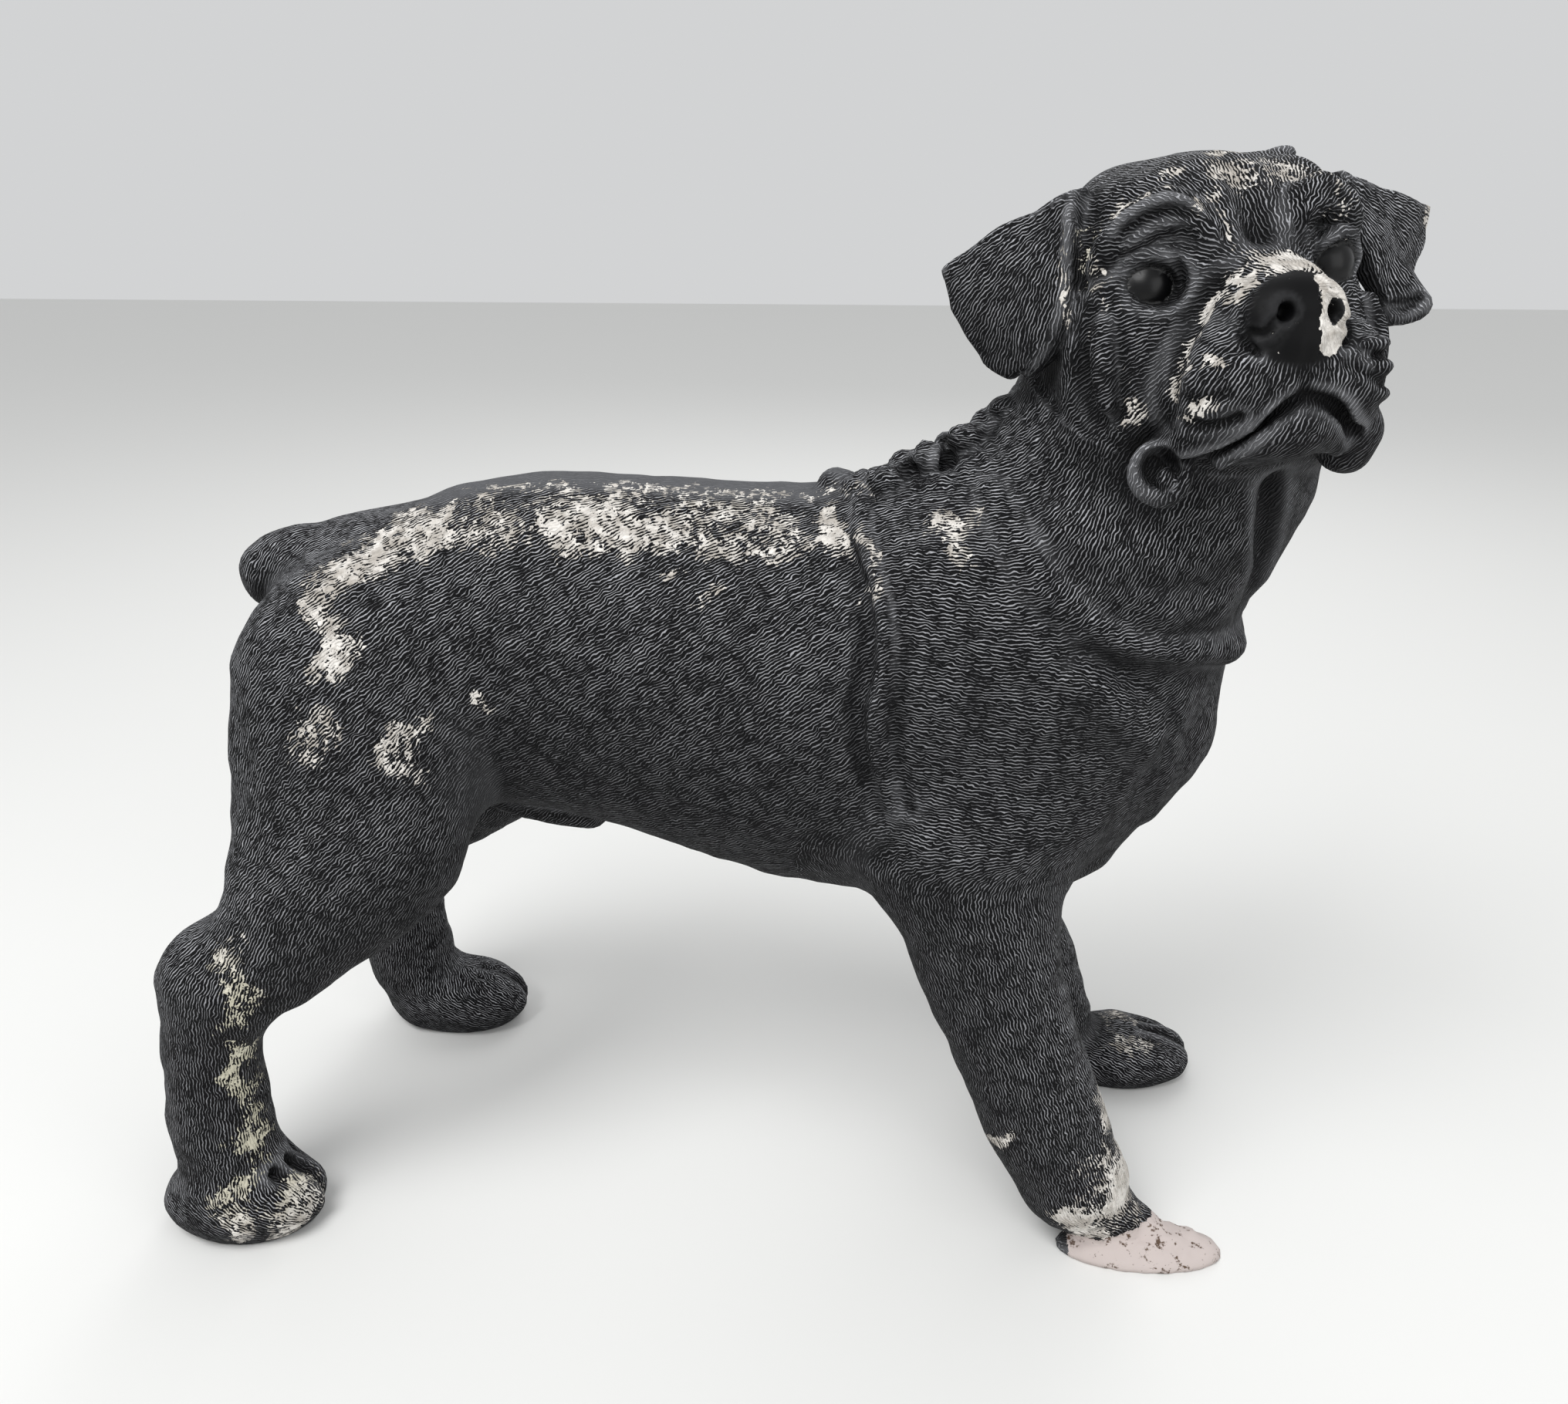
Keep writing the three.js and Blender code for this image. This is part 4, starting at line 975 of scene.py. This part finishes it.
STROKE_PITCH, STROKE_LENGTH = 0.0019, 0.0062
WOBBLE_SIZE, WOBBLE_REACH, PRESSURE_SIZE, GRAIN_SIZE = 0.005, 0.0032, 0.020, 0.0016
FLAKE_SIZE, CLOUD_SIZE, MOTTLE_SIZE, DIRT_SIZE = 0.0034, 0.014, 0.011, 0.007
MATH, RANGE, MIX, NOISE = "ShaderNodeMath", "ShaderNodeMapRange", "ShaderNodeMix", "ShaderNodeTexNoise"
SOFT = {"interpolation_type": "SMOOTHSTEP"}
COLOUR = {"data_type": "RGBA"}
painted = bpy.data.materials.new("painted_cast_stone")
painted.use_nodes = True
tree = painted.node_tree
tree.nodes.clear()
place = node(tree, "ShaderNodeTexCoord", {}, {}, out="Object")
stored = {
    name: node(tree, "ShaderNodeAttribute", {"attribute_name": name}, {}, out="Fac")
    for name in (
        "white", "yellow", "broken", "furred", "eyes", "nose", "black_and_crease_shade", "proud", "hollow_shade", "top_light", "spine_sheen",
    )
}
across_stroke = node(tree, "ShaderNodeAttribute", {"attribute_name": "across"}, {}, out="Vector")
print("attributes read:", len(stored) + 1)

# %% Combed strokes, made irregular by a wobble and by a patchy pressure of the comb
wobble = node(tree, NOISE, {}, {"Vector": place, "Scale": 1 / WOBBLE_SIZE, "Detail": 1.0}, out="Color")
wavy_place = node(
    tree, "ShaderNodeVectorMath", {"operation": "MULTIPLY_ADD"}, {0: wobble, 1: [WOBBLE_REACH] * 3, 2: place})
waves = node(
    tree, "ShaderNodeTexGabor", {"gabor_type": "3D"},
    {"Vector": wavy_place, "Orientation": across_stroke, "Scale": 1 / STROKE_LENGTH,
     "Frequency": STROKE_LENGTH / STROKE_PITCH, "Anisotropy": 1.0}, out=None)
phase = node(tree, MATH, {"operation": "SUBTRACT"}, {0: waves.outputs["Phase"], 1: 0.25})
even = node(tree, MATH, {"operation": "PINGPONG"}, {0: phase, 1: 0.5})
even = node(tree, MATH, {"operation": "MULTIPLY"}, {0: even, 1: 0.6})
strokes = node(tree, MATH, {"operation": "MULTIPLY_ADD"}, {0: waves.outputs["Value"], 1: 0.7, 2: even})
pressure = node(tree, NOISE, {}, {"Vector": place, "Scale": 1 / PRESSURE_SIZE, "Detail": 4.0, "Roughness": 0.6})
grain = node(tree, NOISE, {}, {"Vector": place, "Scale": 1 / GRAIN_SIZE, "Detail": 2.0})
raised = node(tree, MATH, {"operation": "MULTIPLY_ADD"}, {0: pressure, 1: 0.16, 2: strokes})
raised = node(tree, MATH, {"operation": "MULTIPLY_ADD"}, {0: grain, 1: 0.22, 2: raised})
combed = node(tree, RANGE, SOFT, {"Value": raised, "From Min": 0.77, "From Max": 0.93})
combed = node(tree, MATH, {"operation": "MULTIPLY"}, {0: combed, 1: stored["furred"]})
print("stroke waves across one length:", round(STROKE_LENGTH / STROKE_PITCH, 2))

# %% Paint, from dark grooves to brushed grey tops, with painted light that makes faces turned up lighter
# Painted light from above: the grey brushing grows where the surface faces up.
top_light_share = node(tree, RANGE, {}, {"Value": stored["top_light"], "To Min": 0.28, "To Max": 0.98})
brush = node(tree, MATH, {"operation": "MULTIPLY"}, {0: combed, 1: top_light_share})
brush = node(
    tree, MATH, {"operation": "MULTIPLY_ADD", "use_clamp": True}, {0: stored["proud"], 1: 0.24, 2: brush})
base = node(tree, MIX, COLOUR, {"Factor": grain, 6: linear("#050506"), 7: linear("#131315")}, out=2)
paint = node(tree, MIX, COLOUR, {"Factor": brush, 6: base, 7: linear("#b0b1b5")}, out=2)
# Painted sheen: the smooth spine strip is mixed towards grey where it faces up.
paint = node(tree, MIX, COLOUR, {"Factor": stored["spine_sheen"], 6: paint, 7: linear("#5f6063")}, out=2)
# Painted shade: the paint darkens in broad hollows.
hollow_shade_share = node(tree, MATH, {"operation": "MULTIPLY"}, {0: stored["hollow_shade"], 1: 0.65})
paint = node(tree, MIX, COLOUR, {"Factor": hollow_shade_share, 6: paint, 7: linear("#0e0e10")}, out=2)
# Black eyes and nose, and painted shade in creases and hollows.
paint = node(tree, MIX, COLOUR, {"Factor": stored["black_and_crease_shade"], 6: paint, 7: linear("#060607")}, out=2)
print("paint mixed")

# %% Wear down to the cement
flake = node(tree, NOISE, {}, {"Vector": wavy_place, "Scale": 1 / FLAKE_SIZE, "Detail": 3.0, "Roughness": 0.65})
cloud = node(tree, NOISE, {}, {"Vector": place, "Scale": 1 / CLOUD_SIZE, "Detail": 2.0})
crest = node(tree, MATH, {"operation": "SUBTRACT"}, {0: waves.outputs["Value"], 1: 0.5})
crest = node(tree, MATH, {"operation": "MULTIPLY"}, {0: crest, 1: stored["furred"]})
lifted = node(tree, MATH, {"operation": "MULTIPLY_ADD"}, {0: flake, 1: 2.6, 2: stored["white"]})
lifted = node(tree, MATH, {"operation": "MULTIPLY_ADD"}, {0: cloud, 1: 1.2, 2: lifted})
lifted = node(tree, MATH, {"operation": "MULTIPLY_ADD"}, {0: crest, 1: 2.0, 2: lifted})
bare = node(tree, RANGE, SOFT, {"Value": lifted, "From Min": 2.35, "From Max": 2.45})
mottle = node(tree, NOISE, {}, {"Vector": place, "Scale": 1 / MOTTLE_SIZE, "Detail": 4.0, "Roughness": 0.65})
mottle = node(tree, RANGE, SOFT, {"Value": mottle, "From Min": 0.35, "From Max": 0.65})
cement = node(tree, MIX, COLOUR, {"Factor": mottle, 6: linear("#b4aea6"), 7: linear("#e6e2dc")}, out=2)
cement = node(tree, MIX, COLOUR, {"Factor": stored["yellow"], 6: cement, 7: linear("#cfcbb4")}, out=2)
coat = node(tree, MIX, COLOUR, {"Factor": bare, 6: paint, 7: cement}, out=2)
dirt = node(tree, NOISE, {}, {"Vector": place, "Scale": 1 / DIRT_SIZE, "Detail": 4.0, "Roughness": 0.7})
dirt = node(tree, RANGE, SOFT, {"Value": dirt, "From Min": 0.56, "From Max": 0.64})
stump = node(tree, MIX, COLOUR, {"Factor": dirt, 6: linear("#c4b9b5"), 7: linear("#5d4c40")}, out=2)
rest = node(tree, MATH, {"operation": "MULTIPLY_ADD"}, {0: flake, 1: 0.9, 2: stored["broken"]})
rest = node(tree, RANGE, SOFT, {"Value": rest, "From Min": 0.93, "From Max": 0.97})
coat = node(tree, MIX, COLOUR, {"Factor": rest, 6: coat, 7: stump}, out=2)
print("wear mixed")

# %% The finished shader
relief = node(tree, MATH, {"operation": "MULTIPLY"}, {0: raised, 1: stored["furred"]})
relief = node(tree, MATH, {"operation": "MULTIPLY_ADD"}, {0: bare, 1: -0.25, 2: relief})
normal = node(tree, "ShaderNodeBump", {}, {"Height": relief, "Strength": 1.0, "Distance": 0.0015})
shine = node(
    tree, RANGE, {},
    {"Value": stored["eyes"], "From Min": 0.3, "From Max": 0.8, "To Min": 0.75, "To Max": 0.32})
shine = node(tree, MATH, {"operation": "MULTIPLY_ADD"}, {0: stored["nose"], 1: -0.2, 2: shine})
gleam = node(tree, MATH, {"operation": "MULTIPLY_ADD"}, {0: stored["eyes"], 1: 0.15, 2: 0.12})
shader = node(
    tree, "ShaderNodeBsdfPrincipled", {},
    {"Base Color": coat, "Roughness": shine, "Normal": normal, "IOR": 1.5, "Specular IOR Level": gleam,
     "Metallic": 0.0})
node(tree, "ShaderNodeOutputMaterial", {}, {"Surface": shader}, out=None)
print("nodes in the material:", len(tree.nodes))

# %% [markdown]
# ## Uneven skin
# No hand-modelled cast is perfectly even: the skin rolls by a millimetre or two, and where cement has broken or
# crumbled it is rough. That unevenness follows a rule, so a Geometry Nodes tree moves the points along their
# normals by two noises. Its sizes are named inputs, so the roughness can be tuned without touching the sculpt.

# %% The tree that rolls and roughens the skin
uneven = bpy.data.node_groups.new("uneven_skin", "GeometryNodeTree")
uneven.interface.new_socket("Geometry", in_out="INPUT", socket_type="NodeSocketGeometry")
uneven.interface.new_socket("Geometry", in_out="OUTPUT", socket_type="NodeSocketGeometry")
SKIN_SIZES = {
    "Roll size": 0.030, "Roll depth": 0.0075, "Crumb size": 0.007, "Crumb depth": 0.011, "Seed": 4.0,
}
sockets = {
    name: uneven.interface.new_socket(name, in_out="INPUT", socket_type="NodeSocketFloat").identifier
    for name in SKIN_SIZES
}
start = node(uneven, "NodeGroupInput", {}, {}, out=None)
heights = []
for size, depth, weight, turns in (
    ("Roll size", "Roll depth", "furred", 1.0), ("Crumb size", "Crumb depth", "rough", 3.0),
):
    scale = node(uneven, MATH, {"operation": "DIVIDE"}, {0: 1.0, 1: start.outputs[size]})
    noise = node(
        uneven, NOISE, {"noise_dimensions": "4D"},
        {"W": start.outputs["Seed"], "Scale": scale, "Detail": turns})
    level = node(uneven, MATH, {"operation": "SUBTRACT"}, {0: noise, 1: 0.5})
    level = node(uneven, MATH, {"operation": "MULTIPLY"}, {0: level, 1: start.outputs[depth]})
    weight = node(uneven, "GeometryNodeInputNamedAttribute", {"data_type": "FLOAT"}, {"Name": weight})
    heights.append(node(uneven, MATH, {"operation": "MULTIPLY"}, {0: level, 1: weight}))
height = node(uneven, MATH, {"operation": "ADD"}, {0: heights[0], 1: heights[1]})
soles = node(uneven, "ShaderNodeSeparateXYZ", {}, {0: node(uneven, "GeometryNodeInputPosition", {}, {})}, out=2)
off_floor = node(uneven, RANGE, SOFT, {"Value": soles, "From Min": 0.001, "From Max": 0.01})
height = node(uneven, MATH, {"operation": "MULTIPLY"}, {0: height, 1: off_floor})
facing = node(uneven, "GeometryNodeInputNormal", {}, {})
offset = node(uneven, "ShaderNodeVectorMath", {"operation": "SCALE"}, {0: facing, "Scale": height})
moved = node(uneven, "GeometryNodeSetPosition", {}, {"Geometry": start.outputs["Geometry"], "Offset": offset})
moved = node(uneven, "GeometryNodeRealizeInstances", {}, {"Geometry": moved})
moved = node(uneven, "GeometryNodeSetMaterial", {}, {"Geometry": moved, "Material": painted})
node(uneven, "NodeGroupOutput", {}, {"Geometry": moved}, out=None)
print("tree nodes:", len(uneven.nodes))

# %% Apply it and attach the piece to the root body
roughen = dog.modifiers.new("uneven", "NODES")
roughen.node_group = uneven
for name, value in SKIN_SIZES.items():
    roughen[sockets[name]] = value
finished = bpy.data.meshes.new_from_object(dog.evaluated_get(bpy.context.evaluated_depsgraph_get()))
dog.modifiers.clear()
dog.data = finished
finished.name = "dog_cast"
finished.polygons.foreach_set("use_smooth", np.ones(len(finished.polygons), bool))
finished.materials.clear()
finished.materials.append(painted)
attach(dog, "root")
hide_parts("dog")
moved_by = np.linalg.norm(read_points(finished) - to_metres(spots), axis=1)
print("moved by at most", round(float(moved_by.max()) * 1000, 2), "mm; triangles:", len(finished.polygons))

# %% [markdown]
# ## Floor, light and camera
# The statue stands on a plain pale floor in a soft studio, with the world in the same tone so that the floor
# has no hard end. The camera stands where the photograph's did: a little above the dog's head, looking down by
# about 23 degrees, with a lens of 28 mm on a 36 mm sensor.

# %% Floor
plain = bpy.data.materials.new("plain_floor")
plain.use_nodes = True
plain.node_tree.nodes["Principled BSDF"].inputs["Base Color"].default_value = linear("#e6e6e4")
plain.node_tree.nodes["Principled BSDF"].inputs["Roughness"].default_value = 0.9
floor_mesh = bpy.data.meshes.new("floor")
FLOOR = 6.0
corners = [(-FLOOR, -FLOOR, 0), (FLOOR, -FLOOR, 0), (FLOOR, FLOOR, 0), (-FLOOR, FLOOR, 0)]
floor_mesh.from_pydata(corners, [], [(0, 1, 2, 3)])
floor = bpy.data.objects.new("floor", floor_mesh)
bpy.context.scene.collection.objects.link(floor)
floor_mesh.materials.append(plain)


# %% Lights
def soft_light(name, at, towards, size, power):
    lamp = bpy.data.lights.new(name, "AREA")
    lamp.size = size
    lamp.energy = power
    light = bpy.data.objects.new(name, lamp)
    bpy.context.scene.collection.objects.link(light)
    light.location = at
    direction = np.array(towards, float) - np.array(at, float)
    light.rotation_euler = mathutils.Vector(direction).to_track_quat("-Z", "Y").to_euler()


soft_light("key", (-0.8, -1.1, 2.4), (0, 0, 0.35), 1.2, 40)
soft_light("fill", (1.6, -1.6, 1.2), (0.1, 0, 0.35), 1.8, 14)
soft_light("back", (0.3, 1.8, 1.9), (0, 0, 0.4), 1.6, 12)
world = bpy.data.worlds.new("studio")
world.use_nodes = True
world.node_tree.nodes["Background"].inputs[0].default_value = linear("#e8e9ea")
world.node_tree.nodes["Background"].inputs[1].default_value = 0.80
bpy.context.scene.world = world
bpy.context.scene.view_settings.view_transform = "Standard"

# %% Camera
FRAME_WIDTH, FOCAL = 2032, 1600
lens = bpy.data.cameras.new("photo_camera")
lens.sensor_fit = "HORIZONTAL"
lens.sensor_width = 36
lens.lens = FOCAL / FRAME_WIDTH * 36
lens.clip_end = 50
camera = bpy.data.objects.new("photo_camera", lens)
bpy.context.scene.collection.objects.link(camera)
DOWN, AROUND = math.radians(23.45), math.radians(4)
camera.location = to_metres([116.55, -1073.66, 985])
camera.rotation_euler = (math.pi / 2 - DOWN, 0, AROUND)
bpy.context.scene.camera = camera
print("camera at", [round(v, 3) for v in camera.location], "lens", round(lens.lens, 2), "mm")
